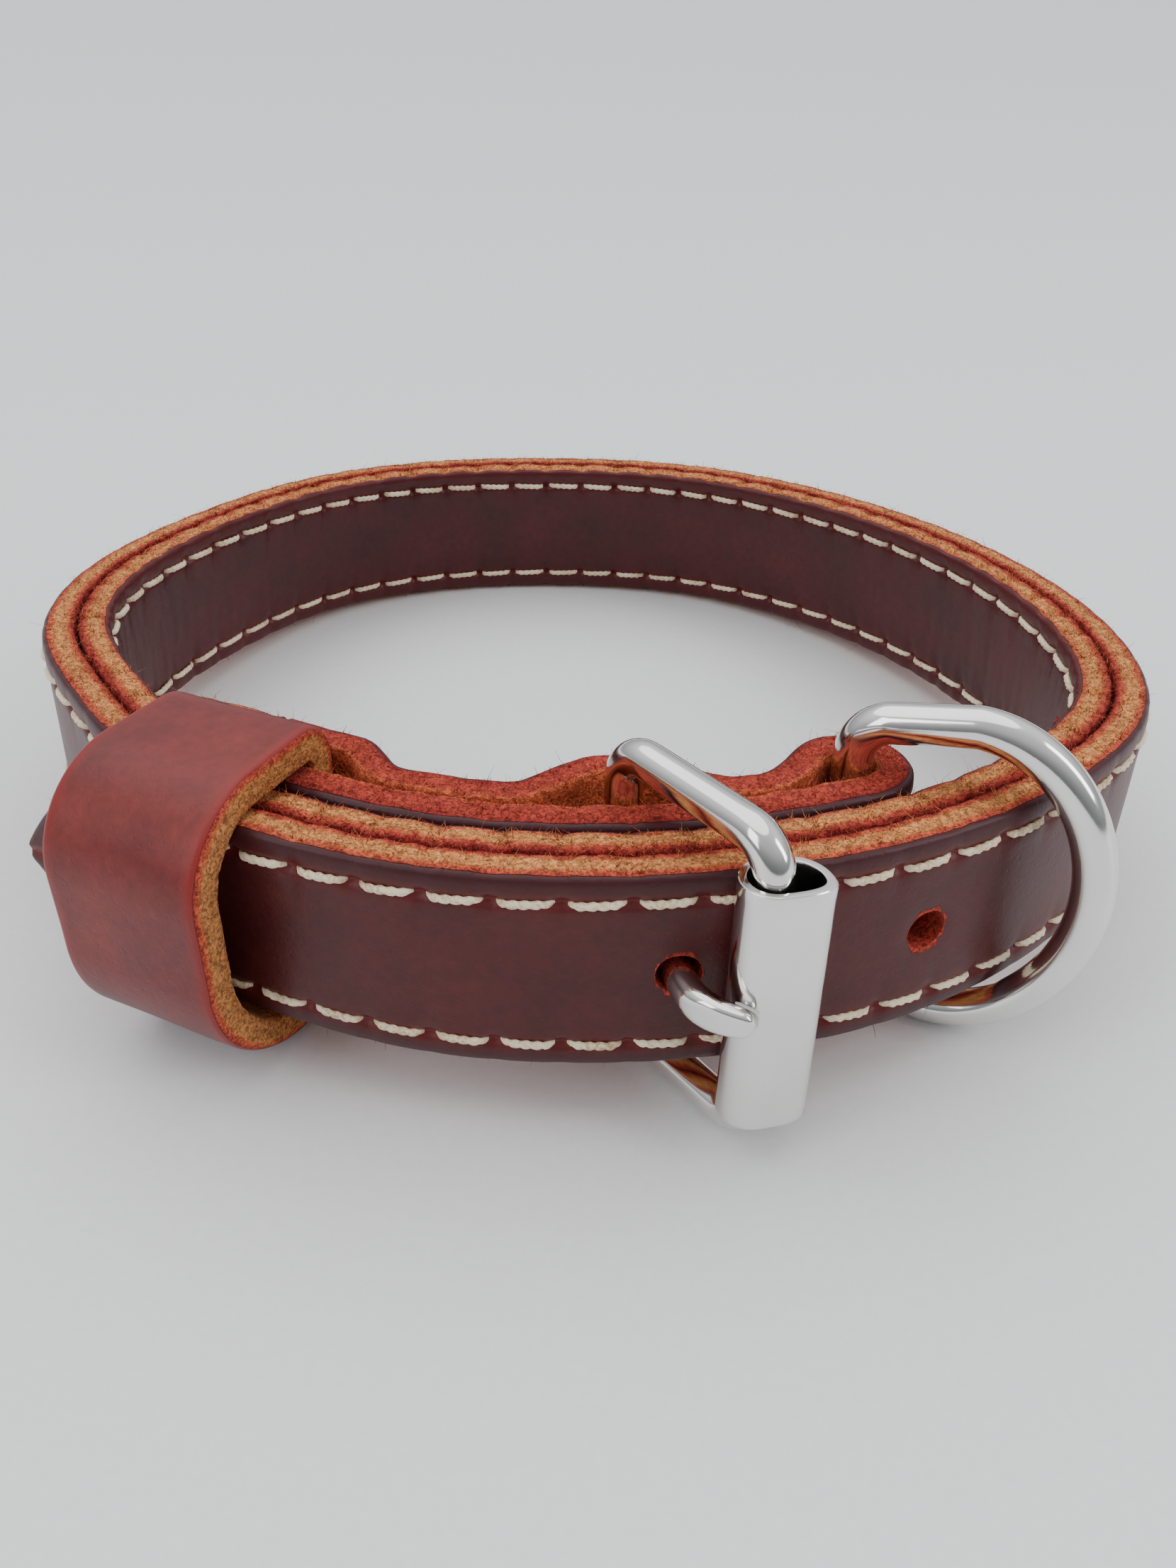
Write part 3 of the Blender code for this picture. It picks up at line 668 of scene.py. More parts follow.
    def stitch_points(self, ply: Ply, face: Face, side: float, first: float, last: float) -> np.ndarray:
        """The points of one row of twisted stitches.

        Args:
            ply: The ply that the row is sewn through.
            face: The face that it shows on.
            side: 1 for the upper row and -1 for the lower one.
            first: The station where the row starts.
            last: The station where it ends.

        Returns:
            Places by stitch and by point.
        """
        downs = np.array(self.row_marks(first, last))
        shares = np.linspace(0.0, 1.0, self.stitch_rings)
        seed = side + (7.0 if face is Face.NECK else 0.0)
        rows = []
        for number, (start, end) in enumerate(zip(downs[:-1], downs[1:])):
            reach = (end - start) * self.stitch_length / self.pitch
            slack = (end - start) - reach
            mark = start + slack / 2 + reach * shares
            wander = 0.1 * MM * noise.noise(Vector((number * 1.7, seed, 0.0)))
            slant = (0.2 * MM) * (shares - 0.5) * side
            offset = side * self.row_offset(mark) + slant + wander
            dive = np.abs(2 * shares - 1) ** 5
            lift = (0.05 + 0.05 * noise.noise(Vector((number * 2.3, seed, 4.0)))) * MM
            lift = lift - dive * 0.75 * MM
            angle = np.linspace(0.0, math.tau, self.stitch_sides, endpoint=False)
            twist = math.tau * mark / (2.1 * MM) + number
            lobed = 1.0 + 0.2 * np.cos(2 * (angle[None, :] - twist[:, None]))
            radius = self.thread * (1 - 0.25 * dive[:, None]) * lobed
            height = offset[:, None] + radius * np.cos(angle)
            depth = -lift[:, None] - radius * np.sin(angle) * 0.9
            if face is Face.NECK:
                depth = SIZES.ply - depth
            rows.append(ply.lay(mark[:, None], height, depth).reshape(-1, 3))
        return np.array(rows)

    def stitches(self, name: str, ply: Ply, face: Face, first: float, last: float) -> bpy.types.Object:
        """Both rows of stitches on one face.

        Args:
            name: The piece's name.
            ply: The ply that they are sewn through.
            face: The face that they show on.
            first: The station where the rows start.
            last: The station where they end.

        Returns:
            The piece.
        """
        places = np.concatenate([self.stitch_points(ply, face, side, first, last) for side in (1.0, -1.0)])
        faces = tube_faces(self.stitch_rings, self.stitch_sides)
        if face is Face.NECK:
            faces = [one[::-1] for one in faces]
        piece = strew(name, faces, places, {})
        choose(piece)
        bpy.ops.object.mode_set(mode="EDIT")
        bpy.ops.mesh.select_all(action="SELECT")
        bpy.ops.mesh.normals_make_consistent(inside=False)
        bpy.ops.object.mode_set(mode="OBJECT")
        return piece

    def fibres(self, name: str, ply: Ply, face: Face, count: int, seed: int) -> bpy.types.Object:
        """Loose fibres that stand up from a ply's cut edges.

        Args:
            name: The piece's name.
            ply: The ply that they grow from.
            face: Which side the grain is on.
            count: How many there are.
            seed: The seed of the draw.

        Returns:
            The piece.
        """
        draw = np.random.default_rng(seed)
        last = ply.marks[-1]
        root = draw.uniform(0.5 * MM, last, count)
        depth = draw.uniform(0.24, 1.02, count) * SIZES.ply
        side = np.where(draw.random(count) < 0.78, 1.0, -1.0)
        length = draw.uniform(0.25, 0.75, count) * MM * np.where(draw.random(count) < 0.06, 2.0, 1.0)
        slope_mark = draw.normal(0.0, 0.75, count)
        slope_depth = draw.normal(0.0, 0.6, count)
        curl = draw.normal(0.0, 0.7, (2, count))
        thick = draw.uniform(0.035, 0.07, count) * MM
        tinge = draw.normal(0.0, 0.16, count)
        half = half_width(root)
        shares = np.array([0.0, 0.5, 1.0])
        angle = np.linspace(0.0, math.tau, 3, endpoint=False)
        along = shares[None, :] * length[:, None]
        bent = shares[None, :] ** 2 * length[:, None]
        mark = root[:, None] + along * slope_mark[:, None] + bent * curl[0][:, None]
        deep = depth[:, None] + along * slope_depth[:, None] + bent * curl[1][:, None]
        height = side[:, None] * (half[:, None] - 0.15 * MM + along)
        radius = thick[:, None] * (1.0 - 0.75 * shares[None, :])
        mark = mark[:, :, None] + radius[:, :, None] * np.cos(angle)
        deep = deep[:, :, None] + radius[:, :, None] * np.sin(angle)
        height = np.repeat(height[:, :, None], 3, axis=2)
        if face is Face.NECK:
            deep = SIZES.ply - deep
        places = ply.lay(np.clip(mark, 0.0, last), height, deep).reshape(count, -1, 3)
        base = smooth_step(root, SIZES.keeper_base - 14 * MM, SIZES.keeper_base - 2 * MM)
        traits = {
            "skin": np.zeros((count, 9)),
            "band": np.repeat(np.clip(depth / SIZES.ply + tinge, 0.14, 0.95)[:, None], 9, axis=1),
            "reddened": np.repeat(base[:, None] * (1.0 if face is Face.OUTSIDE else 0.4), 9, axis=1),
        }
        return strew(name, tube_faces(3, 3), places, traits)


def cut_out(piece: bpy.types.Object, cutter: bpy.types.Object) -> None:
    """Cut one solid out of a piece, and delete the cutter.

    Args:
        piece: What is cut.
        cutter: What is taken out of it.
    """
    choose(piece)
    bpy.ops.object.modifier_add(type="BOOLEAN")
    modifier = piece.modifiers[-1]
    modifier.operation = "DIFFERENCE"
    modifier.solver = "EXACT"
    modifier.object = cutter
    bpy.ops.object.modifier_apply(modifier=modifier.name)
    bpy.data.objects.remove(cutter, do_unlink=True)


@dataclass
class Keeper:
    """The band of leather that holds the free end down."""

    play: float = 4.4 * MM
    slack: float = 3.4 * MM
    top_corner: float = 7.3 * MM
    foot_corner: float = 10.6 * MM
    neck_corner: float = 0.8 * MM
    foot: float = -1.2189 * MM
    around: int = 300
    rim: float = 0.75 * MM

    def inner_outline(self) -> np.ndarray:
        """The band's inner outline: depth and height, evenly spaced."""
        low = (-SIZES.gap - self.slack, -self.play / 2 + self.foot)
        high = (SIZES.stack + SIZES.ply + SIZES.gap / 2, SIZES.width + self.play / 2 + self.foot)
        corners = (
            (high[0] - self.neck_corner, high[1] - self.neck_corner, self.neck_corner, 0.0),
            (low[0] + self.top_corner, high[1] - self.top_corner, self.top_corner, 90.0),
            (low[0] + self.foot_corner, low[1] + self.foot_corner, self.foot_corner, 180.0),
            (high[0] - self.neck_corner, low[1] + self.neck_corner, self.neck_corner, 270.0),
        )
        points = []
        for across, up, radius, start in corners:
            for i in range(25):
                angle = math.radians(start + 90.0 * i / 24)
                points.append((across + radius * math.cos(angle), up + radius * math.sin(angle)))
        points.append(points[0])
        line = np.array(points)
        length = np.concatenate([[0.0], np.cumsum(np.linalg.norm(np.diff(line, axis=0), axis=1))])
        even = np.linspace(0.0, length[-1], self.around, endpoint=False)
        return np.stack([np.interp(even, length, line[:, i]) for i in range(2)], axis=1)

    def build(self) -> bpy.types.Object:
        """The band with rounded grain edges, raw flesh side and rough cut edges."""
        inner = self.inner_outline()
        ahead = np.roll(inner, -2, axis=0) - np.roll(inner, 2, axis=0)
        for _ in range(6):
            ahead = (np.roll(ahead, 1, axis=0) + ahead + np.roll(ahead, -1, axis=0)) / 3
        normal = np.stack([ahead[:, 1], -ahead[:, 0]], axis=1)
        normal /= np.linalg.norm(normal, axis=1)[:, None]
        half = SIZES.keeper_width / 2
        thick = SIZES.keeper_thickness
        profile = [(share * (half - self.rim), thick) for share in np.linspace(-1.0, 1.0, 19)]
        for i in range(1, 5):
            angle = math.pi / 2 * i / 4
            inset, drop = self.rim * (1 - math.sin(angle)), self.rim * (1 - math.cos(angle))
            profile.append((half - inset, thick - drop))
        profile += [(half, level) for level in np.linspace(thick - self.rim, 0.15 * MM, 8)[1:]]
        profile += [(share * (half - 0.15 * MM), 0.0) for share in np.linspace(1.0, -1.0, 9)]
        profile += [(-half, level) for level in np.linspace(0.15 * MM, thick - self.rim, 8)[:-1]]
        for i in range(0, 4):
            angle = math.pi / 2 * (4 - i) / 4
            inset, drop = self.rim * (1 - math.sin(angle)), self.rim * (1 - math.cos(angle))
            profile.append((inset - half, thick - drop))
        profile = np.array(profile)
        turn = np.arange(len(inner))[:, None] * np.ones(len(profile)) * 0.3 * MM
        across = profile[:, 0] * np.ones_like(turn)
        level = profile[:, 1] * np.ones_like(turn)
        below_grain = smooth_step(-level, -thick + 0.2 * self.rim, -thick + self.rim)
        cut = smooth_step(np.abs(across), half - 0.4 * MM, half) * below_grain
        rough = 0.16 * mottle(turn, level, 0.9 * MM, 31.0) + 0.2 * mottle(turn, level, 4.0 * MM, 35.0)
        across = across + np.sign(across) * cut * rough * MM
        face = smooth_step(level, thick - 0.5 * MM, thick)
        level = level + face * 0.1 * MM * mottle(turn, across, 9.0 * MM, 44.0)
        spot = inner[:, None, :] + normal[:, None, :] * level[..., None]
        station = SIZES.keeper_station + across
        plan = LINE.place(station, spot[..., 0])
        places = seated(np.concatenate([plan, spot[..., 1:]], axis=-1))
        traits = {
            "skin": face * (1.0 - cut),
            "band": 1.0 - profile[:, 1] / thick * np.ones_like(turn),
            # Painted sheen: the grain near the band's rounded edges takes the rim colour.
            "rim": smooth_step(np.abs(across), half - 1.8 * MM, half - 0.2 * MM),
            # Painted shade: this mask marks the band's lower part, towards the floor, on one side, for the
            # material to darken.
            "lower": smooth_step(-spot[..., 1], -9.0 * MM, 2.0 * MM) * smooth_step(-across, -3 * MM, 7 * MM),
        }
        return skin("keeper_band", places, traits, loop=True)


def arc(
    centre: Sequence[float],
    radius: float,
    start: float,
    end: float,
    steps: int,
) -> list[tuple[float, float]]:
    """Points along an arc.

    Args:
        centre: Its centre.
        radius: Its radius.
        start: Where it starts, in degrees.
        end: Where it ends, in degrees.
        steps: How many steps it takes.

    Returns:
        Its points, both ends included.
    """
    points = []
    for i in range(steps + 1):
        angle = math.radians(start + (end - start) * i / steps)
        points.append((centre[0] + radius * math.cos(angle), centre[1] + radius * math.sin(angle)))
    return points


def evenly(points: Sequence[Sequence[float]], step: float, closed: bool = True) -> np.ndarray:
    """The same line with points at an even step.

    Args:
        points: The line.
        step: The step, about.
        closed: Whether its end joins its start.

    Returns:
        The new points.
    """
    line = np.array(list(points) + ([points[0]] if closed else []))
    length = np.concatenate([[0.0], np.cumsum(np.linalg.norm(np.diff(line, axis=0), axis=1))])
    count = int(length[-1] / step)
    marks = np.linspace(0.0, length[-1], count, endpoint=not closed)
    return np.stack([np.interp(marks, length, line[:, i]) for i in range(line.shape[1])], axis=1)


@dataclass
class Wire:
    """A closed loop of bent wire that hangs from a bar."""

    name: str
    diameter: float
    axis: tuple[float, float]
    heading: float
    middle: float
    sides: int = 32

    def build(self, outline: Sequence[Sequence[float]]) -> bpy.types.Object:
        """Sweep the wire round its outline.

        Args:
            outline: Its middle line: reach from the bar, and height.

        Returns:
            The piece.
        """
        line = evenly(outline, 0.45 * MM)
        ahead = np.roll(line, -1, axis=0) - np.roll(line, 1, axis=0)
        for _ in range(3):
            ahead = (np.roll(ahead, 1, axis=0) + ahead + np.roll(ahead, -1, axis=0)) / 3
        normal = np.stack([ahead[:, 1], -ahead[:, 0]], axis=1)
        normal /= np.linalg.norm(normal, axis=1)[:, None]
        angle = np.linspace(0.0, math.tau, self.sides, endpoint=False)
        radius = self.diameter / 2
        flat = line[:, None, :] + normal[:, None, :] * (radius * np.cos(angle))[None, :, None]
        side = (radius * np.sin(angle))[None, :] * np.ones((len(line), 1))
        turn = (math.cos(self.heading), math.sin(self.heading))
        x = self.axis[0] + flat[..., 0] * turn[0] - side * turn[1]
        y = self.axis[1] + flat[..., 0] * turn[1] + side * turn[0]
        places = seated(np.stack([x, y, self.middle + flat[..., 1]], axis=-1))
        return skin(self.name, places, {}, loop=True)


@dataclass
class LeadRing:
    """The D-ring that a lead clips to."""

    play: float = 5.2 * MM
    corner: float = 4.4 * MM
    throat: float = 8.7 * MM
    bow: float = 13.6 * MM
    bulge: float = 1.3 * MM
    swing: float = math.radians(-23.745871)
    middle: float = 11.820525 * MM

    @property
    def half(self) -> float:
        """Half the ring's height, to the middle of its wire."""
        return SIZES.width / 2 + self.play / 2 + SIZES.ring_wire / 2

    @property
    def reach(self) -> float:
        """From the bar to the bow."""
        return SIZES.ring_wire + SIZES.ply + SIZES.stack + self.throat

    def outline(self) -> list[tuple[float, float]]:
        """The ring's middle line."""
        corner, half = self.corner, self.half
        bow_centre = self.reach - self.bow
        widest = half + self.bulge
        bow = [(bow_centre + self.bow * x, widest * z) for x, z in arc((0.0, 0.0), 1.0, 90.0, -90.0, 64)]
        top = arc((corner, half - corner), corner, 180.0, 110.0, 14)
        return top + bow + arc((corner, corner - half), corner, 250.0, 180.0, 14)

    def build(self) -> bpy.types.Object:
        """The bent ring."""
        wire = Wire("lead_ring", SIZES.ring_wire, SIZES.ring_axis, self.swing, self.middle)
        return wire.build(self.outline())


@dataclass
class Buckle:
    """The heel-bar buckle: frame, roller and tongue."""

    play: float = 6.8 * MM
    corner: float = 3.5 * MM
    reach: float = 20.2 * MM
    heading: float = math.radians(-52.216768)
    roller_length: float = 27.2 * MM
    roller_wall: float = 0.85 * MM
    roller_bore_gap: float = 0.35 * MM
    roller_lip: float = 5.2 * MM
    roller_sag: float = 0.4 * MM
    lip_wall: float = 1.2
    lip_level: float = 0.35
    lip_round: float = 0.7
    tongue_thickness: float = 2.9 * MM
    tongue_width: float = 3.7 * MM
    loop_height: float = 4.4 * MM
    loop_start: int = -260
    tongue_seat: float = 0.7 * MM
    tip_short: float = 1.6 * MM
    hole_ahead: float = 4.0 * MM
    notch_gap: float = 0.35 * MM

    @property
    def middle(self) -> float:
        """The height of the buckle's middle."""
        return SIZES.width / 2 - SIZES.buckle_sag

    @property
    def roller_radius(self) -> float:
        """The roller's outer radius at its round side."""
        return SIZES.buckle_wire / 2 + self.roller_bore_gap + self.roller_wall

    def frame_wire(self) -> bpy.types.Object:
        """The rectangular wire frame."""
        half = SIZES.width / 2 + self.play / 2 + SIZES.buckle_wire / 2
        corner, far = self.corner, self.reach - self.corner
        outline = arc((corner, half - corner), corner, 180.0, 90.0, 16)
        outline += arc((far, half - corner), corner, 90.0, 0.0, 16)
        outline += arc((far, corner - half), corner, 0.0, -90.0, 16)
        outline += arc((corner, corner - half), corner, 270.0, 180.0, 16)
        wire = Wire("buckle_wire", SIZES.buckle_wire, SIZES.heel_axis, self.heading, self.middle)
        return wire.build(outline)

    def roller_section(self, radius: float, lip: float) -> np.ndarray:
        """The roller's section: round at the heel side, flat in front, closed to a narrow lip.

        Args:
            radius: The round side's radius.
            lip: How far the lip reaches from the bar.

        Returns:
            The section's points, across and outward from the bar.
        """
        outline = arc((0.0, 0.0), radius, 270.0, 90.0, 40)
        edge = -self.lip_level * radius
        for i in range(1, 64):
            angle = math.pi * i / 64
            rise = math.cos(angle)
            if rise > 0.0:
                level = edge + (radius - edge) * rise
            else:
                level = edge - (radius + edge) * abs(rise) ** self.lip_round
            outline.append((lip * math.sin(angle) ** self.lip_round, level))
        return evenly(outline, 0.3 * MM)

    def roller(self) -> bpy.types.Object:
        """The folded sheet roller, notched for the tongue."""
        outer = self.roller_section(self.roller_radius, self.roller_lip)
        lip = self.roller_lip - self.lip_wall * self.roller_wall
        inner_line = self.roller_section(self.roller_radius - self.roller_wall, lip)
        share = np.linspace(0.0, 1.0, len(inner_line), endpoint=False)
        goal = np.linspace(0.0, 1.0, len(outer), endpoint=False)
        inner = np.stack([np.interp(goal, share, inner_line[:, i]) for i in range(2)], axis=1)
        half = self.roller_length / 2
        soft = 0.3 * MM
        levels = [(0.0, z) for z in np.linspace(-half + soft, half - soft, 24)]
        levels += [(0.06, half - 0.3 * soft), (0.16, half - 0.05 * soft), (0.3, half), (0.7, half)]
        levels += [(0.9, half - 0.1 * soft), (1.0, half - soft)]
        levels += [(1.0, z) for z in np.linspace(half - 2 * soft, -half + 2 * soft, 12)]
        levels += [(1.0, -half + soft), (0.9, -half + 0.1 * soft), (0.7, -half), (0.3, -half)]
        levels += [(0.16, -half + 0.05 * soft), (0.06, -half + 0.3 * soft)]
        turn = LINE.along(SIZES.front_station)
        rings = []
        for share_in, z in levels:
            ring = outer * (1 - share_in) + inner * share_in
            x = SIZES.front_axis[0] + ring[:, 0] * turn[0] - ring[:, 1] * turn[1]
            y = SIZES.front_axis[1] + ring[:, 0] * turn[1] + ring[:, 1] * turn[0]
            rings.append(np.stack([x, y, np.full(len(x), self.middle - self.roller_sag + z)], axis=1))
        piece = skin("buckle_sheet_roller", seated(np.array(rings)), {}, loop=True)
        cutter = self.tongue(self.notch_gap)
        cut_out(piece, cutter)
        choose(piece)
        bpy.ops.object.shade_smooth_by_angle(angle=math.radians(28.0))
        return piece

    def tongue_line(self) -> Route:
        """The tongue's middle line in plan."""
        heel = np.array(SIZES.heel_axis)
        front_axis = np.array(SIZES.front_axis)
        along = LINE.along(SIZES.heel_station)
        out = -LINE.inward(SIZES.heel_station)
        radius = SIZES.buckle_wire / 2 + SIZES.gap + SIZES.tongue_wall / 2
        line = []
        for degrees in range(self.loop_start, 1, 20):
            angle = math.radians(degrees)
            line.append(heel + radius * (along * math.cos(angle) + out * math.sin(angle)))
        hole = SIZES.heel_station + self.hole_ahead
        for depth in (SIZES.stack + SIZES.ply / 2, 1.5 * SIZES.ply, 0.2 * SIZES.ply):
            line.append(LINE.place(hole, depth))
        front = -LINE.inward(SIZES.front_station)
        seat = front_axis + front * (self.roller_radius + self.tongue_seat)
        tip = seat - LINE.along(SIZES.front_station) * self.tip_short
        mouth = LINE.place(hole, -self.tongue_thickness)
        line.append(mouth + (tip - mouth) * 0.28 + front * 0.1 * self.tongue_thickness)
        line.append(tip)
        return Route(line)

    def tongue(self, swell: float = 0.0) -> bpy.types.Object:
        """The bent tongue: a flat loop, a round shank and a ground tip.

        Args:
            swell: How much thicker it is made all over.

        Returns:
            The piece.
        """
        line = self.tongue_line()
        loop_radius = SIZES.buckle_wire / 2 + SIZES.gap + SIZES.tongue_wall / 2
        loop_end = math.radians(-self.loop_start) * loop_radius
        stations = np.linspace(0.0, line.length, 90)
        sides = 28
        rings = []
        for station in stations:
            shank = np.clip((station - loop_end - 0.5 * SIZES.buckle_wire) / SIZES.buckle_wire, 0.0, 1.0)
            left = line.length - station
            narrow = np.clip(1 - left / (2 * self.tongue_thickness), 0.0, 1.0)
            taper = 1 - 0.35 * narrow**2
            full = self.tongue_thickness / 2 * taper
            wide = self.tongue_width / 2 * taper
            end = min(left / (1.1 * MM), 1.0)
            dome = 1.0 if swell else math.sqrt(max(1 - (1 - end) ** 2, 0.004))
            thick = (SIZES.tongue_wall / 2 + (full - SIZES.tongue_wall / 2) * shank) * dome + swell
            high = (self.loop_height / 2 + (wide - self.loop_height / 2) * shank) * dome + swell
            centre = line.place(station)
            side = line.inward(station)
            angle = np.linspace(0.0, math.tau, sides, endpoint=False)
            off = thick * np.cos(angle)
            if not swell:
                ground = smooth_step(np.array(station), line.length - 7.0 * MM, line.length - 4.0 * MM)
                off = np.maximum(off, -thick * (1 - 0.34 * float(ground)))
            x = centre[0] + side[0] * off
            y = centre[1] + side[1] * off
            rings.append(np.stack([x, y, self.middle + high * np.sin(angle)], axis=1))
        return skin("buckle_pin" if not swell else "notch", seated(np.array(rings)), {})


class Graph:
    """A short way to write a material's or a group's nodes."""

    def __init__(self, tree: bpy.types.NodeTree) -> None:
        """Work on a node tree."""
        self.tree = tree

    def node(self, kind: str, feeds: dict[str, object] | None = None, **settings: object) -> bpy.types.Node:
        """Add a node.

        Args:
            kind: Its type, without the words ShaderNode.
            feeds: What goes into its sockets: a number, a colour or another node's socket.
            settings: Its own settings.

        Returns:
            The node.
        """
        made = self.tree.nodes.new("ShaderNode" + kind)
        for key, value in settings.items():
            setattr(made, key, value)
        for key, value in (feeds or {}).items():
            socket = made.inputs[key]
            if isinstance(value, bpy.types.NodeSocket):
                self.tree.links.new(value, socket)
            else:
                socket.default_value = value
        return made

    def maths(
        self,
        operation: str,
        first: object,
        second: object = 0.0,
        third: object = 0.0,
    ) -> bpy.types.NodeSocket:
        """One step of arithmetic.

        Args:
            operation: Its kind.
            first: A number or a socket.
            second: A number or a socket.
            third: What MULTIPLY_ADD adds.

        Returns:
            The result.
        """
        node = self.node("Math", {0: first, 1: second}, operation=operation)
        if operation == "MULTIPLY_ADD":
            if isinstance(third, bpy.types.NodeSocket):
                self.tree.links.new(third, node.inputs[2])
            else:
                node.inputs[2].default_value = third
        return node.outputs[0]

    def ramp(self, value: object, stops: Iterable[tuple[float, Sequence[float]]]) -> bpy.types.NodeSocket:
        """A colour ramp.

        Args:
            value: What it reads.
            stops: Places and colours.

        Returns:
            Its colour.
        """
        node = self.node("ValToRGB", {"Fac": value})
        elements = node.color_ramp.elements
        while len(elements) > 1:
            elements.remove(elements[-1])
        for number, (place, colour) in enumerate(stops):
            element = elements[0] if number == 0 else elements.new(place)
            element.position = place
            element.color = (*colour, 1.0)
        return node.outputs["Color"]

    def mix(self, share: object, first: object, second: object, blend: str = "MIX") -> bpy.types.NodeSocket:
        """Mix two colours.

        Args:
            share: How much of the second one is taken.
            first: The first colour.
            second: The second colour.
            blend: How they are mixed.

        Returns:
            The mixed colour.
        """
        node = self.node("Mix", data_type="RGBA", blend_type=blend)
        for index, value in ((0, share), (6, first), (7, second)):
            if isinstance(value, bpy.types.NodeSocket):
                self.tree.links.new(value, node.inputs[index])
            elif index == 0:
                node.inputs[index].default_value = value
            else:
                node.inputs[index].default_value = (*value, 1.0)
        return node.outputs[2]

    def blend(self, share: object, first: object, second: object) -> bpy.types.NodeSocket:
        """Mix two numbers.

        Args:
            share: How much of the second one is taken.
            first: The first number.
            second: The second number.

        Returns:
            The mixed number.
        """
        node = self.node("Mix", data_type="FLOAT")
        for index, value in ((0, share), (2, first), (3, second)):
            if isinstance(value, bpy.types.NodeSocket):
                self.tree.links.new(value, node.inputs[index])
            else:
                node.inputs[index].default_value = value
        return node.outputs[0]

    def trait(self, name: str) -> bpy.types.NodeSocket:
        """A number that the piece stores at its points."""
        return self.node("Attribute", attribute_name=name).outputs["Fac"]


def linear(red: int, green: int, blue: int) -> tuple[float, float, float]:
    """A colour as a picture stores it, made linear.

    Args:
        red: The red channel, to 255.
        green: The green channel.
        blue: The blue channel.

    Returns:
        The three channels, to 1.
    """

    def one(value: int) -> float:
        """One channel."""
        share = value / 255
        return share / 12.92 if share <= 0.04045 else ((share + 0.055) / 1.055) ** 2.4

    return one(red), one(green), one(blue)


def new_group(
    name: str,
    inputs: Sequence[tuple[str, float]],
    outputs: Sequence[str],
) -> tuple[Graph, dict, dict]:
    """A shader node group with number sockets.

    Args:
        name: Its name.
        inputs: Names and default values.
        outputs: Names.

    Returns:
        Its graph, its input sockets and its output sockets, by name.
    """
    tree = bpy.data.node_groups.new(name, "ShaderNodeTree")
    for label, value in inputs:
        socket = tree.interface.new_socket(label, in_out="INPUT", socket_type="NodeSocketFloat")
        socket.default_value = value
    for label in outputs:
        tree.interface.new_socket(label, in_out="OUTPUT", socket_type="NodeSocketFloat")
    graph = Graph(tree)
    entry = tree.nodes.new("NodeGroupInput")
    leave = tree.nodes.new("NodeGroupOutput")
    return graph, {s.name: s for s in entry.outputs if s.name}, {s.name: s for s in leave.inputs if s.name}


def grain_group() -> bpy.types.NodeTree:
    """Grain leather: pores, fine wrinkles and a soft mottle."""
    outputs = ["Height", "Mottle", "Fine"]
    graph, feeds, ends = new_group("grain leather", [("Pores", 1.0), ("Size", 1.0)], outputs)
    place = graph.node("TexCoord").outputs["Object"]
    scale = graph.node("VectorMath", {0: place}, operation="SCALE")
    graph.tree.links.new(feeds["Size"], scale.inputs["Scale"])
    place = scale.outputs[0]
    cells = graph.node("TexVoronoi", {"Vector": place, "Scale": 1500.0, "Randomness": 1.0}, feature="F1")
    pore = graph.node("MapRange", {"Value": cells.outputs["Distance"], "From Min": 0.0, "From Max": 0.34})
    wrinkle = graph.node("TexNoise", {"Vector": place, "Scale": 900.0, "Detail": 5.0, "Roughness": 0.62})
    soft = graph.node("TexNoise", {"Vector": place, "Scale": 75.0, "Detail": 4.0, "Roughness": 0.6})
    height = graph.maths("MULTIPLY_ADD", pore.outputs[0], feeds["Pores"], wrinkle.outputs[0])
    links = graph.tree.links
    links.new(height, ends["Height"])
    links.new(soft.outputs[0], ends["Mottle"])
    links.new(wrinkle.outputs[0], ends["Fine"])
    return graph.tree


def suede_group() -> bpy.types.NodeTree:
    """Raw cut leather: matted fibres and the clumps that they make."""
    graph, feeds, ends = new_group("raw leather", [("Size", 1.0)], ["Height", "Fibre", "Clump"])
    place = graph.node("TexCoord").outputs["Object"]
    scale = graph.node("VectorMath", {0: place}, operation="SCALE")
    graph.tree.links.new(feeds["Size"], scale.inputs["Scale"])
    place = scale.outputs[0]
    fibre = graph.node("TexNoise", {"Vector": place, "Scale": 2300.0, "Detail": 3.0, "Distortion": 1.2})
    clump = graph.node("TexNoise", {"Vector": place, "Scale": 620.0, "Detail": 4.0, "Roughness": 0.65})
    height = graph.maths("MULTIPLY_ADD", clump.outputs[0], 1.4, fibre.outputs[0])
    links = graph.tree.links
    links.new(height, ends["Height"])
    links.new(fibre.outputs[0], ends["Fibre"])
    links.new(clump.outputs[0], ends["Clump"])
    return graph.tree


def new_material(name: str) -> tuple[bpy.types.Material, Graph, bpy.types.Node]:
    """A node material with a Principled shader.

    Args:
        name: The material's name.

    Returns:
        The material, its graph and its shader.
    """
    made = bpy.data.materials.new(name)
    made.use_nodes = True
    graph = Graph(made.node_tree)
    return made, graph, made.node_tree.nodes["Principled BSDF"]


RED_SUEDE = linear(168, 62, 48)
DARK_RED = linear(132, 34, 32)
TAN = linear(206, 138, 82)
RED_TAN = linear(190, 92, 58)
SEWN_RED = linear(118, 38, 38)
# Painted shade and highlight on the cut face: by the height of the matted fibres, their hollows are darkened
# and their tops lightened.
FIBRE_SHADE_AND_HIGHLIGHT = (
    # place, colour
    (0.36, (0.36, 0.3, 0.28)),
    (0.5, (0.9, 0.9, 0.9)),
    (0.62, (1.5, 1.45, 1.4)),
)


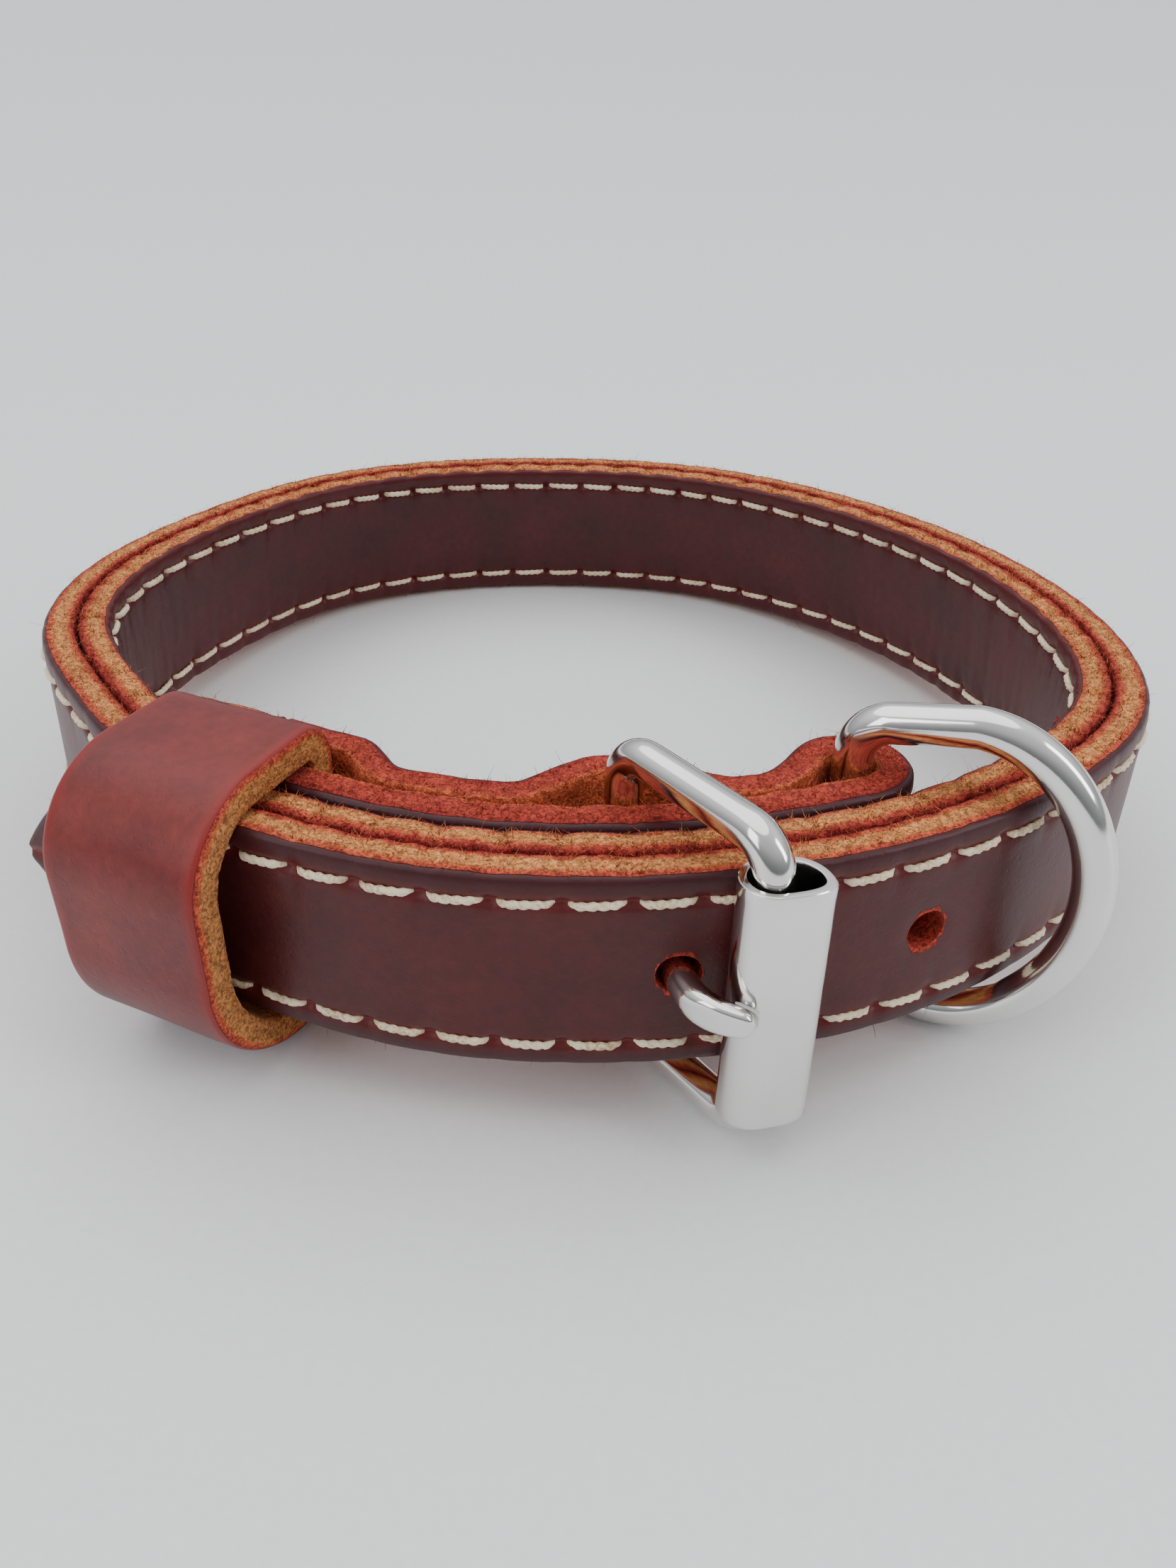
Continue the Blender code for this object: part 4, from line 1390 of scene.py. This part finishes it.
@dataclass(frozen=True)
class LeatherFinish:
    """Dyed leather with a satin grain and raw cut edges."""

    name: str
    dark: tuple[float, float, float]
    light: tuple[float, float, float]
    # The rim colour is a painted sheen on the grain along the rounded edges.
    rim: tuple[float, float, float]
    bands: tuple[tuple[float, tuple[float, float, float]], ...]
    reddened: tuple[tuple[float, tuple[float, float, float]], ...]
    rough: float = 0.4
    # Painted shade: a darker colour laid over the lower part of the band, towards the floor.
    low_shade: tuple[float, float, float] | None = None

    def build(self, grain: bpy.types.NodeTree, suede: bpy.types.NodeTree) -> bpy.types.Material:
        """Make the material.

        Args:
            grain: The group of grain leather.
            suede: The group of raw leather.

        Returns:
            The material.
        """
        made, graph, shader = new_material(self.name)
        links = graph.tree.links
        top = graph.node("Group", node_tree=grain)
        top.inputs["Pores"].default_value = 0.55
        top.inputs["Size"].default_value = 1.0
        raw = graph.node("Group", node_tree=suede)
        raw.inputs["Size"].default_value = 1.0
        clump = raw.outputs["Clump"]
        level = graph.maths("MULTIPLY_ADD", clump, 0.34, -0.17)
        level = graph.maths("ADD", level, graph.trait("band"))
        cut = graph.ramp(level, self.bands)
        if self.reddened:
            cut = graph.mix(graph.trait("reddened"), cut, graph.ramp(level, self.reddened))
        # Painted fibre shade and highlight, multiplied into the cut face's colour.
        shade = graph.ramp(raw.outputs["Fibre"], FIBRE_SHADE_AND_HIGHLIGHT)
        cut = graph.mix(0.85, cut, shade, "MULTIPLY")
        skin_mix = graph.ramp(top.outputs["Mottle"], ((0.3, self.dark), (0.7, self.light)))
        # Painted shade and highlight: the grain is darkened in the hollows of the fine wrinkles and lightened
        # on their crests, by the same noise that bumps them.
        fine = graph.ramp(top.outputs["Fine"], ((0.35, (0.8, 0.8, 0.8)), (0.65, (1.15, 1.15, 1.15))))
        skin_mix = graph.mix(0.6, skin_mix, fine, "MULTIPLY")
        # Painted shade: the band darkens towards the floor, on one side.
        if self.low_shade:
            skin_mix = graph.mix(graph.trait("lower"), skin_mix, self.low_shade)
        # Painted sheen along the rounded grain edges.
        skin_mix = graph.mix(graph.maths("MULTIPLY", graph.trait("rim"), 0.75), skin_mix, self.rim)
        if self.reddened:
            sewn = graph.maths("MULTIPLY", graph.trait("groove"), 0.75)
            skin_mix = graph.mix(sewn, skin_mix, SEWN_RED)
        edge = graph.maths("MULTIPLY_ADD", clump, 0.5, -0.25)
        edge = graph.maths("ADD", edge, graph.trait("skin"))
        is_skin = graph.node("MapRange", {"Value": edge, "From Min": 0.42, "From Max": 0.62}).outputs[0]
        links.new(graph.mix(is_skin, cut, skin_mix), shader.inputs["Base Color"])
        satin = graph.maths("MULTIPLY_ADD", top.outputs["Mottle"], 0.16, self.rough - 0.08)
        links.new(graph.blend(is_skin, 0.93, satin), shader.inputs["Roughness"])
        fine_grain = graph.maths("MULTIPLY", top.outputs["Height"], 0.12)
        height = graph.blend(is_skin, raw.outputs["Height"], fine_grain)
        bump = graph.node("Bump", {"Height": height, "Strength": 0.8, "Distance": 0.4 * MM})
        links.new(bump.outputs[0], shader.inputs["Normal"])
        shader.inputs["Specular IOR Level"].default_value = 0.3
        return made


@dataclass(frozen=True)
class ThreadFinish:
    """Waxed cream thread."""

    name: str = "waxed_thread"
    light: tuple[float, float, float] = linear(238, 222, 192)
    dark: tuple[float, float, float] = linear(190, 160, 120)

    def build(self) -> bpy.types.Material:
        """Make the material."""
        made, graph, shader = new_material(self.name)
        place = graph.node("TexCoord").outputs["Object"]
        fine = graph.node("TexNoise", {"Vector": place, "Scale": 3200.0, "Detail": 2.0})
        broad = graph.node("TexNoise", {"Vector": place, "Scale": 260.0, "Detail": 3.0})
        half_broad = graph.maths("MULTIPLY", broad.outputs[0], 0.5)
        both = graph.maths("MULTIPLY_ADD", fine.outputs[0], 0.5, half_broad)
        colour = graph.ramp(both, ((0.34, self.dark), (0.52, self.light)))
        graph.tree.links.new(colour, shader.inputs["Base Color"])
        bump = graph.node("Bump", {"Height": fine.outputs[0], "Strength": 0.4, "Distance": 0.08 * MM})
        graph.tree.links.new(bump.outputs[0], shader.inputs["Normal"])
        shader.inputs["Roughness"].default_value = 0.62
        return made


@dataclass(frozen=True)
class SteelFinish:
    """Polished steel with faint swirls from the buffing wheel."""

    name: str = "polished_steel"
    colour: tuple[float, float, float] = (0.80, 0.785, 0.765)

    def build(self) -> bpy.types.Material:
        """Make the material."""
        made, graph, shader = new_material(self.name)
        links = graph.tree.links
        place = graph.node("TexCoord").outputs["Object"]
        swirl = graph.node("TexNoise", {"Vector": place, "Scale": 420.0, "Detail": 5.0, "Distortion": 1.5})
        wave = graph.node("TexNoise", {"Vector": place, "Scale": 70.0, "Detail": 2.0})
        darker = tuple(0.9 * value for value in self.colour)
        colour = graph.ramp(wave.outputs[0], ((0.35, darker), (0.65, self.colour)))
        links.new(colour, shader.inputs["Base Color"])
        rough = graph.node("MapRange", {"Value": swirl.outputs[0], "To Min": 0.05, "To Max": 0.19}).outputs[0]
        links.new(rough, shader.inputs["Roughness"])
        height = graph.maths("MULTIPLY_ADD", wave.outputs[0], 6.0, swirl.outputs[0])
        bump = graph.node("Bump", {"Height": height, "Strength": 0.12, "Distance": 0.03 * MM})
        links.new(bump.outputs[0], shader.inputs["Normal"])
        shader.inputs["Metallic"].default_value = 1.0
        return made


@dataclass
class Studio:
    """The pale floor, the soft light and the camera."""

    camera_place: tuple[float, float, float] = (1.76 * MM, -83.5 * MM, 84.0 * MM)
    pitch: float = math.radians(31.95)
    roll: float = math.radians(1.0)
    lens: float = 27.67
    ceiling_strength: float = 1.35
    ceiling_spread: float = math.radians(70.0)
    ceiling_turn: tuple[float, float, float] = (math.radians(-14.0), math.radians(-10.0), 0.0)

    def floor(self) -> bpy.types.Object:
        """A large plain floor with the faint tooth of seamless paper."""
        deselect()
        bpy.ops.mesh.primitive_plane_add(size=9.0, location=(0.0, 1.5, 0.0))
        piece = bpy.context.object
        piece.name = "studio_floor"
        made, graph, shader = new_material("seamless_paper")
        place = graph.node("TexCoord").outputs["Object"]
        tooth = graph.node("TexNoise", {"Vector": place, "Scale": 900.0, "Detail": 3.0})
        colour = graph.ramp(tooth.outputs[0], ((0.3, (0.80, 0.81, 0.815)), (0.7, (0.83, 0.84, 0.845))))
        graph.tree.links.new(colour, shader.inputs["Base Color"])
        shader.inputs["Roughness"].default_value = 0.55
        piece.data.materials.append(made)
        return piece

    def light(self) -> None:
        """Soft boxes overhead and around, and an even pale surround."""
        world = bpy.data.worlds.new("soft_surround")
        world.use_nodes = True
        graph = Graph(world.node_tree)
        back = world.node_tree.nodes["Background"]
        axes = graph.node("SeparateXYZ", {0: graph.node("TexCoord").outputs["Generated"]})
        rise = graph.ramp(axes.outputs["Z"], (
            (0.0, (0.34, 0.35, 0.37)), (0.3, (0.62, 0.635, 0.66)), (0.62, (1.05, 1.07, 1.1)),
        ))
        span = {"Value": axes.outputs["Y"], "From Min": -1.0, "From Max": 0.15, "To Min": 0.45}
        front = graph.node("MapRange", span)
        shade = graph.node("VectorMath", {0: rise, "Scale": front.outputs[0]}, operation="SCALE")
        graph.tree.links.new(shade.outputs[0], back.inputs["Color"])
        back.inputs["Strength"].default_value = 1.0
        bpy.context.scene.world = world
        boxes = (
            # place, aim, size, watts
            ((-0.7, -0.5, 0.55), (0.0, -0.02, 0.02), (0.35, 0.6), 2.0),
            ((0.75, -0.25, 0.5), (0.02, -0.02, 0.02), (0.25, 0.6), 2.4),
        )
        sky = bpy.data.lights.new("soft_ceiling", "SUN")
        sky.energy = self.ceiling_strength
        sky.angle = self.ceiling_spread
        holder = bpy.data.objects.new(sky.name, sky)
        holder.rotation_euler = self.ceiling_turn
        bpy.context.scene.collection.objects.link(holder)
        for number, (place, aim, size, watts) in enumerate(boxes):
            lamp = bpy.data.lights.new(f"soft_box_{number + 1}", "AREA")
            lamp.shape = "RECTANGLE"
            lamp.size, lamp.size_y = size
            lamp.energy = watts
            holder = bpy.data.objects.new(lamp.name, lamp)
            holder.location = place
            holder.rotation_euler = (Vector(aim) - Vector(place)).to_track_quat("-Z", "Y").to_euler()
            bpy.context.scene.collection.objects.link(holder)

    def camera(self) -> None:
        """The camera at the photograph's place and angle."""
        data = bpy.data.cameras.new("camera")
        data.sensor_fit = "AUTO"
        data.sensor_width = 36.0
        data.lens = self.lens
        data.clip_start = 0.005
        data.clip_end = 50.0
        right = Vector((1.0, 0.0, 0.0))
        upward = Vector((0.0, math.sin(self.pitch), math.cos(self.pitch)))
        look = Vector((0.0, math.cos(self.pitch), -math.sin(self.pitch)))
        across = right * math.cos(self.roll) + upward * math.sin(self.roll)
        up = upward * math.cos(self.roll) - right * math.sin(self.roll)
        turn = Matrix((across, up, -look)).transposed().to_4x4()
        holder = bpy.data.objects.new("camera", data)
        holder.matrix_world = SEAT @ Matrix.Translation(self.camera_place) @ turn
        bpy.context.scene.collection.objects.link(holder)
        bpy.context.scene.camera = holder


def finish_piece(
    piece: bpy.types.Object,
    look: bpy.types.Material,
    body: str,
    slot: str,
    *nodes: str,
) -> None:
    """Dress a piece and tie it to the frame.

    Args:
        piece: The piece.
        look: Its material.
        body: The body that it rides on.
        slot: Not used.
        nodes: The frame's nodes that it stands for.
    """
    piece.data.materials.clear()
    piece.data.materials.append(look)
    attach(piece, body)
    if nodes:
        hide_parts(*nodes)
    piece.data.calc_loop_triangles()
    LOG.info("%s: %d triangles on %s", piece.name, len(piece.data.loop_triangles), body)


def main() -> None:
    """Build, dress and place every piece, in order."""
    logging.basicConfig(level=logging.INFO, format="%(name)s %(message)s")
    studio = Studio()
    studio.camera()
    studio.light()
    studio.floor()

    grain = grain_group()
    suede = suede_group()
    strap_look = LeatherFinish(
        name="burgundy_leather",
        dark=linear(66, 23, 24),
        light=linear(88, 31, 31),
        rim=linear(58, 24, 30),
        bands=(
            (0.16, RED_SUEDE), (0.3, RED_TAN), (0.42, TAN), (0.68, TAN), (0.8, RED_TAN), (0.9, RED_SUEDE),
            (1.0, DARK_RED),
        ),
        reddened=((0.1, DARK_RED), (0.4, RED_SUEDE), (0.8, RED_SUEDE), (0.95, RED_TAN)),
    )
    lining_look = LeatherFinish(
        name="lining_leather",
        dark=linear(62, 22, 25),
        light=linear(84, 30, 33),
        rim=linear(86, 28, 30),
        bands=(
            (0.06, RED_SUEDE), (0.22, RED_TAN), (0.34, TAN), (0.62, TAN), (0.74, RED_TAN), (0.86, RED_SUEDE),
            (1.0, DARK_RED),
        ),
        reddened=((0.1, DARK_RED), (0.4, RED_SUEDE), (0.8, RED_SUEDE), (0.95, RED_TAN)),
    )
    keeper_look = LeatherFinish(
        name="red_leather",
        dark=linear(98, 35, 33),
        light=linear(128, 48, 44),
        rim=linear(142, 42, 38),
        bands=((0.1, RED_SUEDE), (0.22, RED_TAN), (0.36, linear(182, 122, 70)), (0.9, linear(168, 108, 62))),
        reddened=(),
        # Painted shade on the band's lower part, towards the floor.
        low_shade=linear(90, 36, 40),
    )
    strap_material = strap_look.build(grain, suede)
    lining_material = lining_look.build(grain, suede)
    keeper_material = keeper_look.build(grain, suede)
    thread = ThreadFinish().build()
    steel = SteelFinish().build()

    strap = Strap()
    outer = strap.shell("outer_ply", OUTER, Face.OUTSIDE)
    strap.punch(outer)
    finish_piece(outer, strap_material, STRAP_BODY, "strap_leather", "strap_outer")
    lining = strap.shell("lining_ply", LINING, Face.NECK)
    strap.punch(lining)
    finish_piece(lining, lining_material, STRAP_BODY, "lining_leather", "strap_lining")
    rows = strap.stitches("outer_stitches", OUTER, Face.OUTSIDE, strap.vee_start, strap.last_outer)
    finish_piece(rows, thread, STRAP_BODY, "lining_leather")
    rows = strap.stitches("lining_stitches", LINING, Face.NECK, strap.vee_start, SIZES.keeper_base - 2 * MM)
    finish_piece(rows, thread, STRAP_BODY, "lining_leather")
    fuzz = strap.fibres("outer_fibres", OUTER, Face.OUTSIDE, strap.outer_fibres, 11)
    finish_piece(fuzz, strap_material, STRAP_BODY, "strap_leather")
    fuzz = strap.fibres("lining_fibres", LINING, Face.NECK, strap.lining_fibres, 12)
    finish_piece(fuzz, lining_material, STRAP_BODY, "lining_leather")

    finish_piece(Keeper().build(), keeper_material, STRAP_BODY, "keeper_leather", "keeper")
    buckle = Buckle()
    finish_piece(buckle.frame_wire(), steel, STRAP_BODY, "steel", "buckle_frame")
    finish_piece(buckle.roller(), steel, STRAP_BODY, "steel", "buckle_roller")
    finish_piece(buckle.tongue(), steel, STRAP_BODY, "steel", "buckle_tongue")
    finish_piece(LeadRing().build(), steel, RING_BODY, "steel", "d_ring")

    deselect()


if __name__ == "__main__":
    main()
